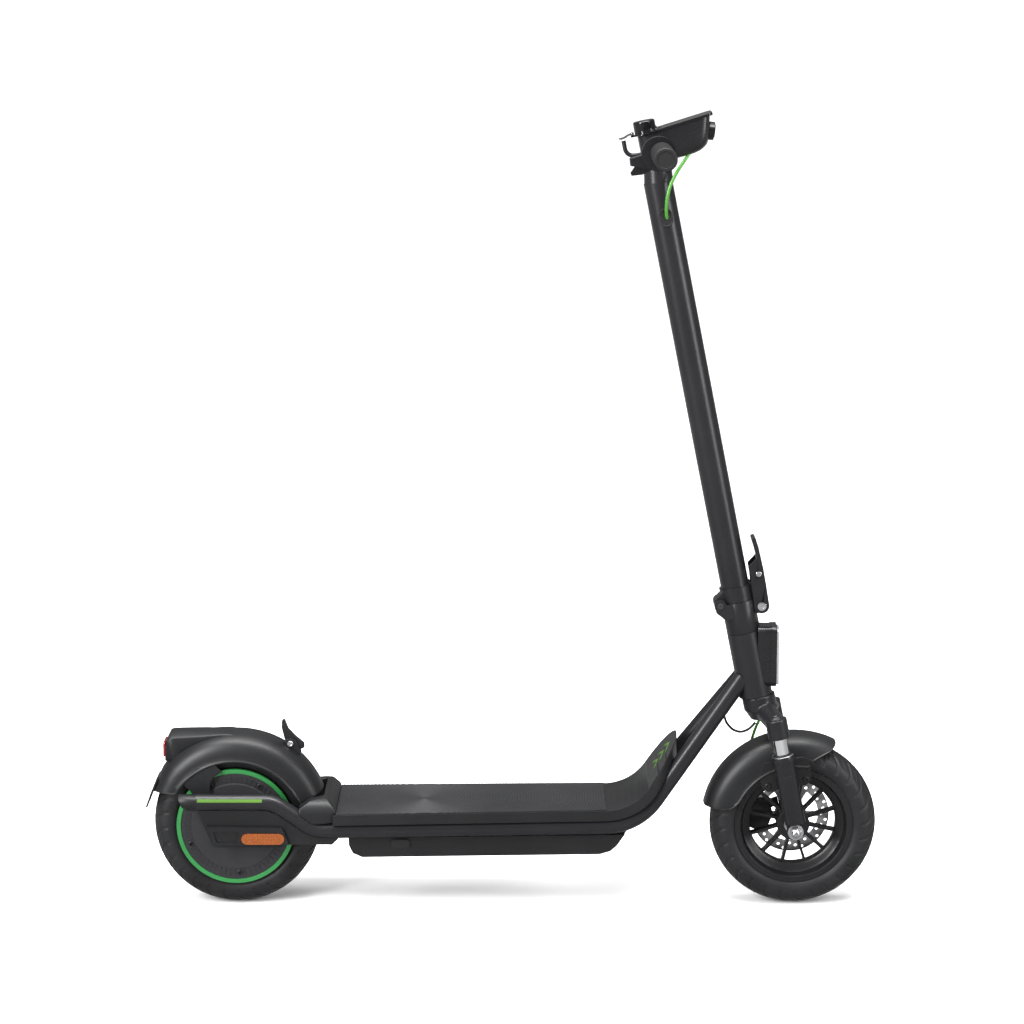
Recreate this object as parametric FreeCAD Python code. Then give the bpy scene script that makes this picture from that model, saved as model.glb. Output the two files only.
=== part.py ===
import FreeCAD, Part
import math
import os

# Electric kick scooter, millimetres. x runs forward, y to the rider's left, z up from the ground.
# The steering parts are drawn upright about the steering axis, with x as the distance in front of
# that axis and z as the height along it, and are then leaned back onto the scooter.

V = FreeCAD.Vector
os.makedirs("parts", exist_ok=True)

# Wheels
TYRE_RADIUS = 127.5
TYRE_HALF = 33.5
WHEELBASE = 854.0
REAR_X = -421.5
FRONT_X = REAR_X + WHEELBASE
RIM_RADIUS = 90.5
FRONT_AXLE_RADIUS = 6.0
REAR_AXLE_RADIUS = 8.0
RUNNING_GAP = 0.05

# Steering axis
LEAN = 11.35
AXIS_FOOT = 439.1
HEAD_LOW, HEAD_HIGH, HEAD_RADIUS = 334.0, 435.6, 25.5
STEERER_RADIUS = 15.0
SEAM = 485.0
HINGE = (-28.0, SEAM)
LEVER_PIN = (33.7, 471.6)
LINK_PIN = (38.1, 521.5)

# Fork
LEG_X, LEG_Y, LEG_RADIUS = 21.0, 58.0, 16.0
STANCHION_RADIUS = 11.0
AXLE_AHEAD, AXLE_HEIGHT = 18.6, 126.3
FENDER_HALF = 40.0

# Stem and handlebar
STEM_RADIUS = 21.5
STEM_TOP = 1130.0
BAR_AHEAD, BAR_HEIGHT, BAR_RADIUS = 9.0, 1181.5, 11.1
GRIP_RADIUS, GRIP_IN, BAR_END = 16.5, 150.0, 270.0

# Frame and deck
RAIL_RADIUS = 13.0
RAIL_Y = 66.0
RAIL_Z_REAR = 174.5
RAIL_Z = 135.3
DECK_SLOPE = 0.8
DECK_TOP = 162.4
DECK_REAR, DECK_FRONT = -268.0, 146.0
MAT_THICK = 1.8
BOX_HALF = 57.0
REAR_FENDER_RADIUS = 145.5


# ---------------------------------------------------------------- drawing helpers

def block(x0, x1, y0, y1, z0, z1):
    """A box between two opposite corners."""
    return Part.makeBox(x1 - x0, y1 - y0, z1 - z0, V(x0, y0, z0))


def rod(radius, start, end):
    """A round bar between two points."""
    run = V(*end) - V(*start)
    return Part.makeCylinder(radius, run.Length, V(*start), run)


def cross_rod(radius, x, z, y0, y1):
    """A round bar across the scooter."""
    return rod(radius, (x, y0, z), (x, y1, z))


def post(radius, z0, z1, x=0.0, y=0.0):
    """A round bar standing upright."""
    return rod(radius, (x, y, z0), (x, y, z1))


def slab(outline, y0, y1):
    """A plate with an x-z outline, between two y values."""
    corners = [V(x, y0, z) for x, z in outline]
    return Part.Face(Part.makePolygon(corners + corners[:1])).extrude(V(0, y1 - y0, 0))


def rounded(shape, radius, direction):
    """Round the straight edges that run along one direction."""
    edges = []
    for edge in shape.Edges:
        run = edge.Vertexes[-1].Point - edge.Vertexes[0].Point
        if run.Length > 0 and abs(abs(run.normalize().dot(V(*direction))) - 1) < 1e-6:
            edges.append(edge)
    return shape.makeFillet(radius, edges)


def spun(outline, x, z, turn=360.0, start=0.0):
    """A ring about a cross axle: the outline is a list of (radius, y) corners."""
    corners = [V(x + radius, y, z) for radius, y in outline]
    ring = Part.Face(Part.makePolygon(corners + corners[:1]))
    ring = ring.revolve(V(x, 0, z), V(0, -1, 0), turn)
    ring.rotate(V(x, 0, z), V(0, -1, 0), start)
    return ring


def merged(*shapes):
    """Join solids into one."""
    return shapes[0].multiFuse(list(shapes[1:])).removeSplitter()


def group(*shapes):
    """Keep separate solids together in one node."""
    return Part.makeCompound(list(shapes))


def both_sides(shape):
    """A piece and its mirror image on the other side of the scooter."""
    return group(shape, shape.mirror(V(0, 0, 0), V(0, 1, 0)))


def leaned(shape):
    """Lean an upright steering part back onto the scooter."""
    placed = shape.copy()
    placed.rotate(V(0, 0, 0), V(0, 1, 0), -LEAN)
    placed.translate(V(AXIS_FOOT, 0, 0))
    return placed


def leaned_point(x, y, z):
    """The scooter position of a point in the upright steering frame."""
    tilt = math.radians(LEAN)
    return (AXIS_FOOT + x * math.cos(tilt) - z * math.sin(tilt), y,
            x * math.sin(tilt) + z * math.cos(tilt))


def sloped(shape):
    """Tip a level deck part up to the front by the deck's slope."""
    placed = shape.copy()
    placed.rotate(V(0, 0, 0), V(0, 1, 0), -DECK_SLOPE)
    return placed


def bent_path(points, radii=None):
    """Straight runs joined by tangent arcs, as large as the runs allow unless radii are given."""
    points = [V(*point) for point in points]
    edges, start, used = [], points[0], []
    for index in range(1, len(points) - 1):
        corner = points[index]
        back, on = points[index - 1] - corner, points[index + 1] - corner
        shorter = min(back.Length, on.Length)
        half_turn = (math.pi - back.getAngle(on)) / 2
        radius = radii[index - 1] if radii else 0.45 * shorter / math.tan(half_turn)
        setback = radius * math.tan(half_turn)
        back.normalize()
        on.normalize()
        middle = (back + on).normalize() * (radius / math.cos(half_turn) - radius)
        edges.append(Part.LineSegment(start, corner + back * setback).toShape())
        edges.append(Part.Arc(corner + back * setback, corner + middle,
                              corner + on * setback).toShape())
        start = corner + on * setback
        used.append(round(radius, 1))
    edges.append(Part.LineSegment(start, points[-1]).toShape())
    return Part.Wire(edges), used


def swept(points, radius, radii=None):
    """A round section carried along a bent path."""
    wire, _ = bent_path(points, radii)
    heading = V(*points[1]) - V(*points[0])
    section = Part.Wire(Part.Circle(V(*points[0]), heading, radius).toShape())
    return wire.makePipeShell([section], True, False)


def cable(name, points, radius):
    """A cable: prints its bend radii and compares its volume with section times length."""
    solid = swept(points, radius)
    wire, used = bent_path(points)
    ideal = math.pi * radius ** 2 * wire.Length
    print("%s radii %s length %.0f volume/ideal %.4f" % (name, used, wire.Length, solid.Volume / ideal))
    return solid


def save(node, shape):
    """Write one sub-part to its own file."""
    if not shape.isValid() or not shape.Solids:
        print("PROBLEM", node, shape.ShapeType, len(shape.Solids))
    shape.exportStep("parts/%s.step" % node)


# ---------------------------------------------------------------- frame: tubes

def rail_points(side):
    """The centre line of one frame tube, from the rear arm's end to the head tube."""
    slope = math.tan(math.radians(DECK_SLOPE))
    return [(-477.3, side * RAIL_Y, RAIL_Z_REAR), (-360.8, side * RAIL_Y, RAIL_Z_REAR),
            (-297.8, side * RAIL_Y, RAIL_Z - 297.8 * slope),
            (191.2, side * 62.0, RAIL_Z + 191.2 * slope), (352.0, side * 9.0, 356.0)]


RAIL_BENDS = [45.0, 45.0, 95.0]


def rail_solid(side, radius):
    """The full round solid of one frame tube, at any radius."""
    return swept(rail_points(side), radius, RAIL_BENDS)


def clear_of_rails(shape, gap=0.3):
    """Cut the room for both frame tubes out of a part beside them."""
    for side in (-1, 1):
        shape = shape.cut(rail_solid(side, RAIL_RADIUS + gap))
    return shape


def frame_tube(side):
    """One bent tube with its welded rear axle plate."""
    tube = rail_solid(side, RAIL_RADIUS).cut(rail_solid(side, RAIL_RADIUS - 2.5))
    half = block(-600, 500, 0, 200, 0, 500)
    if side < 0:
        half = half.mirror(V(0, 0, 0), V(0, 1, 0))
    tube = tube.common(half).cut(leaned(post(HEAD_RADIUS, 300, 480)))
    inner, outer = sorted((side * 57.0, side * 63.0))
    plate = slab([(-472, 166), (-378, 166), (-386, 112), (-448, 112)], inner, outer)
    plate = plate.cut(rail_solid(side, RAIL_RADIUS - 1.0))
    plate = plate.cut(cross_rod(REAR_AXLE_RADIUS, REAR_X, TYRE_RADIUS, inner - 1, outer + 1))
    return merged(tube, plate)


def head_tube():
    """The steering head, bored for the steerer and counterbored for its two bearings."""
    shell = post(HEAD_RADIUS, HEAD_LOW, HEAD_HIGH).cut(post(17.0, HEAD_LOW - 1, HEAD_HIGH + 1))
    shell = shell.cut(post(21.0, HEAD_LOW - 1, HEAD_LOW + 8))
    return leaned(shell.cut(post(21.0, HEAD_HIGH - 8, HEAD_HIGH + 1)))


def headset_bearings():
    """Two ring bearings in the head tube."""
    rings = []
    for low in (HEAD_LOW, HEAD_HIGH - 8):
        ring = post(21.0, low, low + 8).cut(post(STEERER_RADIUS + RUNNING_GAP, low - 1, low + 9))
        rings.append(leaned(ring))
    return group(*rings)


def arm_end_caps():
    """Bevelled plugs that close the rear ends of the two arms."""
    cap = rod(RAIL_RADIUS - 0.4, (-503.8, -RAIL_Y, RAIL_Z_REAR), (-477.3, -RAIL_Y, RAIL_Z_REAR))
    bevel = slab([(-520, 200), (-520, 150), (-484, 150), (-500, 172), (-504, 184), (-504, 200)],
                 -90, -40)
    return both_sides(cap.cut(bevel))


def side_strips():
    """Coloured strips let onto the outer side of the arms."""
    start, length = V(-475.0, -RAIL_Y, RAIL_Z_REAR), 98.0
    strip = Part.makeCylinder(RAIL_RADIUS + 0.5, length, start, V(1, 0, 0), 22)
    strip = strip.cut(Part.makeCylinder(RAIL_RADIUS, length, start, V(1, 0, 0)))
    reach = strip.Solids[0].CenterOfMass - start
    now = math.degrees(math.atan2(reach.z, reach.y))
    strip.rotate(start, V(1, 0, 0), 154.0 - now)
    return both_sides(strip)


# ---------------------------------------------------------------- frame: deck

def deck_plan(inset, low, high):
    """The deck's plan: tapering forward and rounded off like an ellipse at the ramp's top."""
    rear, front, tip_x = 82.5 - inset, 75.0 - inset, 205.0
    corners = [(DECK_REAR, -rear), (tip_x, -front), (tip_x, front), (DECK_REAR, rear)]
    points = [V(x, y, low) for x, y in corners]
    plan = Part.Face(Part.makePolygon(points + points[:1])).extrude(V(0, 0, high - low))
    centre = V(tip_x, 0, low)
    oval = Part.Ellipse(centre + V(0, front, 0), centre + V(52.0 - inset, 0, 0), centre)
    end = Part.Face(Part.Wire(oval.toShape())).extrude(V(0, 0, high - low))
    return merged(plan, end)


def deck_profile(depth_top, depth_bottom):
    """A full-width layer of the deck between two depths below its upper surface."""
    rise, bend_radius, length = math.radians(56.0), 78.0, 95.0
    bend_start = 188.0 - bend_radius * math.tan(rise / 2)
    centre = V(bend_start, 0, DECK_TOP + bend_radius)

    def on_bend(angle, depth):
        """A point on the layer's bend, at an angle past the flat part's end."""
        reach = bend_radius + depth
        return centre + V(math.sin(angle) * reach, 0, -math.cos(angle) * reach)

    def ramp_end(depth):
        """The layer's point at the ramp's upper end."""
        return on_bend(rise, depth) + V(math.cos(rise) * length, 0, math.sin(rise) * length)

    edges = []
    for depth in (depth_top, depth_bottom):
        start = V(DECK_REAR, 0, DECK_TOP - depth)
        bend = [on_bend(angle, depth) for angle in (0.0, rise / 2, rise)]
        edges.append(Part.LineSegment(start, bend[0]).toShape())
        edges.append(Part.Arc(*bend).toShape())
        edges.append(Part.LineSegment(bend[2], ramp_end(depth)).toShape())
    edges.append(Part.LineSegment(ramp_end(depth_top), ramp_end(depth_bottom)).toShape())
    edges.append(Part.LineSegment(V(DECK_REAR, 0, DECK_TOP - depth_top),
                                  V(DECK_REAR, 0, DECK_TOP - depth_bottom)).toShape())
    face = Part.Face(Part.Wire(Part.__sortEdges__(edges)))
    face.translate(V(0, -100, 0))
    return face.extrude(V(0, 200, 0))


def deck_shell():
    """The platform with its skirts and the ramp that rises to the head tube."""
    outer = deck_profile(0, 16).common(deck_plan(0, 100, 400))
    hollow = deck_profile(6, 17).common(deck_plan(5, 90, 410))
    return clear_of_rails(sloped(outer.cut(hollow)))


def deck_mat():
    """The tapering grip mat on the flat part of the deck."""
    corners = [(-263.0, -80.5), (DECK_FRONT, -73.5), (DECK_FRONT, 73.5), (-263.0, 80.5)]
    points = [V(x, y, DECK_TOP) for x, y in corners]
    mat = Part.Face(Part.makePolygon(points + points[:1])).extrude(V(0, 0, MAT_THICK))
    return sloped(rounded(mat, 4.0, (0, 0, 1)).common(block(-300, 300, -90, 90, 100, 200)))


def rear_cover():
    """The saddle that closes the deck's rear end around the mudguard and over the arms."""
    body = slab([(-264, 162), (-264, 146), (-300, 142), (-322, 152), (-322, 166), (-306, 177),
                 (-285, 181), (-278, 179)], -90, 90)
    arch = [V(-330, -78, 130), V(-330, -78, 158), V(-330, -71, 173), V(-330, -50, 181),
            V(-330, 50, 181), V(-330, 71, 173), V(-330, 78, 158), V(-330, 78, 130)]
    edges = [Part.LineSegment(arch[0], arch[1]).toShape(), Part.Arc(*arch[1:4]).toShape(),
             Part.LineSegment(arch[3], arch[4]).toShape(), Part.Arc(*arch[4:7]).toShape(),
             Part.LineSegment(arch[6], arch[7]).toShape(), Part.LineSegment(arch[7], arch[0]).toShape()]
    body = body.common(Part.Face(Part.Wire(edges)).extrude(V(100, 0, 0)))
    tunnel = cross_rod(REAR_FENDER_RADIUS + 0.5, REAR_X, TYRE_RADIUS, -46.5, 46.5)
    body = body.cut(tunnel).cut(sloped(block(DECK_REAR - 0.2, -200, -100, 100, 100, DECK_TOP + 0.1)))
    body = body.cut(sloped(block(-263.2, -200, -100, 100, 100, 300)))
    return clear_of_rails(body, 0.2)


# ---------------------------------------------------------------- frame: battery and electrics

def box_layer(inset, half_low, half_high):
    """The battery box's outline, wide below the tubes and narrow between them."""
    outline = [(-246 + inset, 149 - inset), (-246 + inset, 108), (-240 + inset, 95 + inset / 2),
               (-226 + inset, 88.5 + inset), (136 - inset, 88.5 + inset), (152 - inset, 93 + inset),
               (162 - inset, 101 + inset), (184 - inset * 1.6, 132), (190 - inset * 1.6, 149 - inset)]
    upper = slab(outline, -half_high, half_high)
    lower = slab(outline, -half_low, half_low).common(block(-300, 300, -100, 100, 0, 119 - inset))
    return merged(upper, lower)


PORT_X, PORT_Z, PORT_RADIUS = -167.0, 108.5, 4.0


def battery_box():
    """The hollow tray under the deck, with the charging socket in its right wall."""
    box = box_layer(0, BOX_HALF, 51.5).cut(box_layer(3.0, BOX_HALF - 3, 48.5))
    socket = cross_rod(PORT_RADIUS + 3, PORT_X, PORT_Z, -BOX_HALF, -44)
    box = merged(box, socket).cut(cross_rod(PORT_RADIUS, PORT_X, PORT_Z, -BOX_HALF - 1, -46.5))
    return clear_of_rails(sloped(box))


def battery_pack():
    """The sealed cell pack inside the box."""
    return sloped(rounded(block(-150, 70, -42, 42, 94, 142), 5.0, (1, 0, 0)))


def controller():
    """The finned motor controller in front of the pack."""
    body = block(80, 145, -35, 35, 103, 128)
    fins = [block(84, 141, y, y + 2.4, 128, 138) for y in range(-32, 32, 8)]
    return sloped(merged(body, *fins))


def charge_cap():
    """The rubber flap over the charging socket, with its hinge lip at the top."""
    flap = block(PORT_X - 14, PORT_X + 14, -BOX_HALF - 3.0, -BOX_HALF - 0.4, PORT_Z - 6, PORT_Z + 8)
    flap = rounded(flap, 6.0, (0, 1, 0))
    lip_at = (-BOX_HALF - 1.9, PORT_Z + 7)
    lip = rod(1.5, (PORT_X - 8, *lip_at), (PORT_X + 8, *lip_at))
    return sloped(merged(flap, lip))


def headlight_case():
    """The upright lamp body that wraps the front of the head tube."""
    bezel = rounded(block(393.5, 403.0, -22, 22, 343.5, 438), 10.0, (1, 0, 0))
    back = rounded(block(374.0, 393.5, -21, 21, 344.5, 437), 9.0, (1, 0, 0))
    case = merged(bezel, back).cut(leaned(post(HEAD_RADIUS, 300, 480)))
    return case.cut(rounded(block(398.0, 404.0, -19.4, 19.4, 345.6, 434.4), 8.0, (1, 0, 0)))


def headlight_lens():
    """The clear window of the lamp."""
    return rounded(block(398.2, 407.0, -19, 19, 346, 434), 7.6, (1, 0, 0))


# ---------------------------------------------------------------- frame: rear end

def pod_outline():
    """The slanted outline of the reflector pod."""
    return [(-461.9, 139.0), (-451.3, 109.6), (-336.5, 111.1), (-347.1, 137.5)]


REFLECTOR_X, REFLECTOR_Z, REFLECTOR_LONG, REFLECTOR_HIGH = -376.4, 120.5, 65.0, 17.0


def stadium(length, height, x, z, y0, y1):
    """A bar with round ends, as long and high as given, between two y values."""
    reach = (length - height) / 2
    middle = block(x - reach, x + reach, y0, y1, z - height / 2, z + height / 2)
    ends = [cross_rod(height / 2, x + side * reach, z, y0, y1) for side in (-1, 1)]
    return merged(middle, *ends)


def side_covers():
    """The axle covers under the arms, each with a raised pod that holds a reflector."""
    plate = slab([(-475.8, 163), (-463.5, 132.5), (-453.2, 107.5), (-445, 105.5), (-351, 105.5),
                  (-337, 110), (-272, 110), (-262.5, 119), (-264, 124), (-300, 126), (-330, 140), (-350, 155),
                  (-372, 164)], -73, -63.4)
    pod = slab(pod_outline(), -79, -73)
    cover = clear_of_rails(merged(plate, pod), 0.2)
    window = stadium(REFLECTOR_LONG + 1, REFLECTOR_HIGH + 1, REFLECTOR_X, REFLECTOR_Z, -90, -77)
    dish = slab([(-452, 131), (-446, 114.5), (-416, 114.5), (-412, 131)], -90, -77)
    return both_sides(cover.cut(window).cut(dish))


def side_reflectors():
    """Long round-ended reflectors in the pods."""
    return both_sides(stadium(REFLECTOR_LONG, REFLECTOR_HIGH, REFLECTOR_X, REFLECTOR_Z, -80, -77))


def motor_stator():
    """The fixed core of the hub motor on its axle, with the nuts inside the covers."""
    core = cross_rod(66.0, REAR_X, TYRE_RADIUS, -22, 22)
    shoulders = cross_rod(14.0, REAR_X, TYRE_RADIUS, -26, 26)
    axle = cross_rod(REAR_AXLE_RADIUS, REAR_X, TYRE_RADIUS, -63, 63)
    spacers = [cross_rod(12.0, REAR_X, TYRE_RADIUS, *sorted((side * 38.5, side * 57))) for side in (-1, 1)]
    return merged(core, shoulders, axle, *spacers)


def fender_section(outer, half, wall, lip):
    """The arched section of a mudguard as (radius, y) corners, down to its lip."""
    outside = [(lip, half), (outer - 24, half), (outer - 13, half - 3.5), (outer - 5, half - 13),
               (outer - 1.2, half - 25), (outer, 0)]
    inside = [(radius - (wall if radius > outer - 20 else 0), max(y - wall, 0)) for radius, y in outside]
    inside[-1] = (outer - wall, 0)
    mirrored = [(radius, -y) for radius, y in reversed(outside[:-1])]
    mirrored_inside = [(radius, -y) for radius, y in inside[:-1]]
    return outside + mirrored + mirrored_inside + list(reversed(inside))


HOOK_PIN = (-338.3, 251.0)
HOOK_TRAVEL = 12.0


def rear_arch():
    """The rear mudguard's plain arch."""
    return spun(fender_section(REAR_FENDER_RADIUS, 44.0, 3.0, 103.0), REAR_X, TYRE_RADIUS, 138, 22)


def rear_fender():
    """The rear mudguard with its tail box, side stays and the ears of the folding hook."""
    tail = slab([(-423, 270.8), (-520, 271.5), (-528.5, 256), (-528.8, 232), (-524, 226),
                 (-480, 248), (-440, 262)], -24, 24)
    tail = rounded(tail, 4.0, (0, 1, 0))
    room = cross_rod(REAR_FENDER_RADIUS - 1, REAR_X, TYRE_RADIUS, -60, 60)
    arch = merged(rear_arch(), tail.cut(room))
    ears = slab([(-350, 236), (-346, 256), (-340, 260), (-331, 257), (-322, 232)], -9, 9)
    slot = block(-362, -310, -5.6, 5.6, 200, 300)
    ears = ears.cut(room).cut(slot.cut(cross_rod(REAR_FENDER_RADIUS, REAR_X, TYRE_RADIUS, -20, 20)))
    pin = cross_rod(3.0, HOOK_PIN[0], HOOK_PIN[1], -11, 11)
    stay = slab([(-478, 226), (-442, 228), (-442, 186.5), (-470, 186.5)], -44, -41.5)
    foot = block(-470, -442, -60, -41.5, 184.5, 188.5)
    stay = clear_of_rails(merged(stay, foot), 0.0)
    return merged(arch, ears, pin, stay, stay.mirror(V(0, 0, 0), V(0, 1, 0)))


def tail_lens():
    """The red lamp window on the back of the tail box."""
    return rounded(block(-531.8, -529.0, -20, 20, 233, 255), 3.0, (1, 0, 0))


def mud_flap():
    """The thin rubber flap under the mudguard's rear end."""
    flap = slab([(-543, 199), (-552.5, 176), (-560, 154.7), (-557.4, 154), (-549.5, 175),
                 (-540.3, 198)], -27, 27)
    return flap.cut(rear_arch())


def kick_axis():
    """The stand's pivot axis, tipped so that the leg splays outward as it swings down."""
    return V(0.125, -1.0, -0.2).normalize()


KICK_PIVOT = V(-40.0, 74.0, 111.0)


def kickstand_bracket():
    """The saddle under the left tube that carries the stand's pivot bolt."""
    axis = kick_axis()
    saddle = block(-58, -22, 58, 79, 118.6, 134)
    saddle = saddle.cut(Part.makeCylinder(15.0, 60, KICK_PIVOT + axis * 6.2, axis * -1))
    cheek = Part.makeCylinder(12.0, 8, KICK_PIVOT + axis * 6.4, axis)
    bolt = Part.makeCylinder(4.0, 16, KICK_PIVOT + axis * 8, axis * -1)
    bracket = merged(saddle, cheek, bolt)
    bracket = bracket.cut(block(-80, 0, 40, 57.6, 80, 140))
    return bracket.cut(rail_solid(1, RAIL_RADIUS))


def kickstand():
    """The stand, folded back along the left tube."""
    axis = kick_axis()
    hub = Part.makeCylinder(9.0, 12, KICK_PIVOT + axis * 6, axis * -1)
    leg = rod(6.0, (KICK_PIVOT.x, KICK_PIVOT.y, KICK_PIVOT.z), (-146, 74, 111))
    foot = rod(8.0, (-158, 74, 111), (-140, 74, 111))
    stand = merged(hub, leg, foot)
    return stand.cut(Part.makeCylinder(4.0 + RUNNING_GAP, 40, KICK_PIVOT + axis * 20, axis * -1))


def fender_hook():
    """The sprung claw that catches the folded stem."""
    claw = slab([(-351, 286), (-347, 287.3), (-341.5, 273), (-331, 261), (-317.3, 249.5), (-317, 243.5),
                 (-322, 241.5), (-331, 245), (-338, 245.6), (-344, 249), (-347.5, 258), (-351.5, 275)],
                -5, 5)
    claw = merged(claw, cross_rod(7.0, HOOK_PIN[0], HOOK_PIN[1] + 0.6, -5, 5))
    for turn in (0.0, -HOOK_TRAVEL):
        mudguard = cross_rod(REAR_FENDER_RADIUS + 0.6, REAR_X, TYRE_RADIUS, -10, 10)
        mudguard.rotate(V(HOOK_PIN[0], 0, HOOK_PIN[1]), V(0, 1, 0), turn)
        claw = claw.cut(mudguard)
    return claw.cut(cross_rod(3.0 + RUNNING_GAP, HOOK_PIN[0], HOOK_PIN[1], -10, 10))


def loop_cable():
    """The black lead that hangs in a loop from the frame to the fork crown."""
    points = [(325.0, -15, 296), (328.5, -15, 286), (338, -14, 275), (351, -12, 270.5),
              (364, -10, 275.5), (373, -8, 285.5)]
    return cable("loop_cable", points, 2.0)


# ---------------------------------------------------------------- steering: crown and fold base

def fork_crown():
    """The steerer, the crown's arch and the two leg clamps, as one forging."""
    steerer = post(STEERER_RADIUS, 320, 446).cut(post(11.5, 300, 450))
    core = slab([(-20, 333.3), (28, 333.3), (32, 327), (31, 303), (27, 297), (-1, 297), (-21, 309)],
                -25, 25)
    core = rounded(core, 6.0, (0, 1, 0))
    core = core.common(rod(33.0, (5, 0, 290), (5, 0, 340)))
    arch = [V(5, y, z) for y, z in ((-58, 279), (-58, 304), (-34, 308), (-18, 320), (18, 320), (34, 308),
                                    (58, 304), (58, 279), (44, 279), (32, 291), (16, 297), (-16, 297),
                                    (-32, 291), (-44, 279))]
    bridge = Part.Face(Part.makePolygon(arch + arch[:1])).extrude(V(31, 0, 0))
    clamps = [post(16.6, 275.5, 306, LEG_X, side * LEG_Y) for side in (-1, 1)]
    crown = merged(core, bridge, steerer, *clamps)
    for side in (-1, 1):
        crown = crown.cut(post(STANCHION_RADIUS, 270, 301, LEG_X, side * LEG_Y))
        crown = crown.cut(post(8.0, 300, 320, LEG_X, side * LEG_Y))
    return leaned(crown)


def stanchions():
    """The bright hollow tubes that slide in the lower legs."""
    tube = post(STANCHION_RADIUS, 174, 301, LEG_X, -LEG_Y).cut(post(8.5, 170, 298, LEG_X, -LEG_Y))
    return both_sides(leaned(tube))


def fork_springs():
    """A coil spring inside each stanchion."""
    low, high, pitch = 155.0, 297.0, 11.8
    path = Part.makeHelix(pitch, high - low - 3, 6.2)
    path.translate(V(0, 0, low + 1.5))
    section = Part.Wire(Part.Circle(V(6.2, 0, low + 1.5), V(0, 1, 0.3), 1.3).toShape())
    coil = Part.Wire(path).makePipeShell([section], True, True)
    coil.translate(V(LEG_X, -LEG_Y, 0))
    return both_sides(leaned(coil))


def fold_base():
    """The lower half of the folding joint, fixed to the steerer above the head tube."""
    base = post(HEAD_RADIUS, 436.2, SEAM - 0.3)
    ears = slab([(-37, SEAM), (-36, 476), (-24, 462), (-10, 462), (-10, SEAM)], -24, 24)
    ears = merged(ears.common(block(-60, 0, -24, 24, 400, SEAM - 0.3)),
                  cross_rod(9.0, HINGE[0], HINGE[1], -24, 24))
    front_lug = slab([(15, 462), (38, 460.5), (43, 466), (43, 476), (36, 482.5), (15, 482.5)], -12.6, 12.6)
    base = merged(base, ears, front_lug)
    base = base.cut(cross_rod(11.4, HINGE[0], HINGE[1], -14.4, 14.4))
    for side in (-1, 1):
        inner, outer = sorted((side * 12.6, side * 30))
        base = base.cut(cross_rod(12.4, *LEVER_PIN, inner, outer))
    inner_bore = post(20.0, 446, 500)
    base = base.cut(inner_bore).cut(post(STEERER_RADIUS, 430, 447))
    base = base.cut(cross_rod(4.0, *HINGE, -30, 30)).cut(cross_rod(4.0, *LEVER_PIN, -30, 30))
    return leaned(base)


def fold_pins():
    """The hinge pin at the rear and the lever's pin at the front, with their heads."""
    hinge = cross_rod(4.0, *HINGE, -24.6, 24.6)
    lever = cross_rod(4.0, *LEVER_PIN, -18, 18)
    heads = [cross_rod(6.2, *LEVER_PIN, *sorted((side * 16.4, side * 18.4))) for side in (-1, 1)]
    return leaned(group(hinge, merged(lever, *heads)))


# ---------------------------------------------------------------- fork lowers

def fork_legs():
    """The two lower legs with their seal rims and axle lugs."""
    legs = []
    for side in (-1, 1):
        y = side * LEG_Y
        leg = merged(post(LEG_RADIUS, 140, 246, LEG_X, y), post(LEG_RADIUS + 1.3, 238, 247.5, LEG_X, y))
        inner, outer = sorted((side * 51, side * 62))
        lug = merged(cross_rod(12.5, AXLE_AHEAD, AXLE_HEIGHT, inner, outer),
                     slab([(6.4, 128), (9, 156), (33, 156), (30.8, 128)], inner, outer))
        leg = merged(leg, lug)
        leg = leg.cut(post(STANCHION_RADIUS + RUNNING_GAP, 154, 260, LEG_X, y))
        leg = leg.cut(cross_rod(FRONT_AXLE_RADIUS, AXLE_AHEAD, AXLE_HEIGHT, inner - 1, outer + 1))
        legs.append(leaned(leg))
    return group(*legs)


def front_axle():
    """The front axle with its spacers, washers and domed nuts."""
    centre = (AXLE_AHEAD, AXLE_HEIGHT)
    pieces = [cross_rod(FRONT_AXLE_RADIUS, *centre, -70, 70)]
    for side in (-1, 1):
        pieces.append(cross_rod(9.5, *centre, *sorted((side * 41.5, side * 51))))
        pieces.append(cross_rod(12.0, *centre, *sorted((side * 62, side * 64.5))))
        corners = [V(centre[0] + 9.6 * math.cos(math.radians(60 * k)), side * 64.5,
                     centre[1] + 9.6 * math.sin(math.radians(60 * k))) for k in range(7)]
        pieces.append(Part.Face(Part.makePolygon(corners)).extrude(V(0, side * 7.0, 0)))
        dome = Part.makeSphere(7.6, V(centre[0], side * 69.0, centre[1]))
        pieces.append(dome.common(cross_rod(12, *centre, *sorted((side * 69, side * 80)))))
    return leaned(merged(*pieces))


FENDER_AHEAD = 13.0


def front_fender():
    """The front mudguard with the bracket plates that bolt to the legs."""
    centre_x = FRONT_X + FENDER_AHEAD
    arch = spun(fender_section(148.0, FENDER_HALF, 2.6, 112.0), centre_x, TYRE_RADIUS, 95, 68)
    bracket = slab([(372, 214), (381, 191), (396, 187), (448, 197), (455, 205), (455, 226), (468, 243),
                    (440, 256), (380, 246)], -FENDER_HALF, -FENDER_HALF + 2.6)
    room = cross_rod(118.0, centre_x, TYRE_RADIUS, -60, 60)
    bracket = bracket.common(room)
    fender = merged(arch, bracket, bracket.mirror(V(0, 0, 0), V(0, 1, 0)))
    for side in (-1, 1):
        fender = fender.cut(leaned(post(LEG_RADIUS + 1.6, 100, 260, LEG_X, side * LEG_Y)))
    return fender


ROTOR_IN, ROTOR_OUT = 34.0, 36.2


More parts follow.
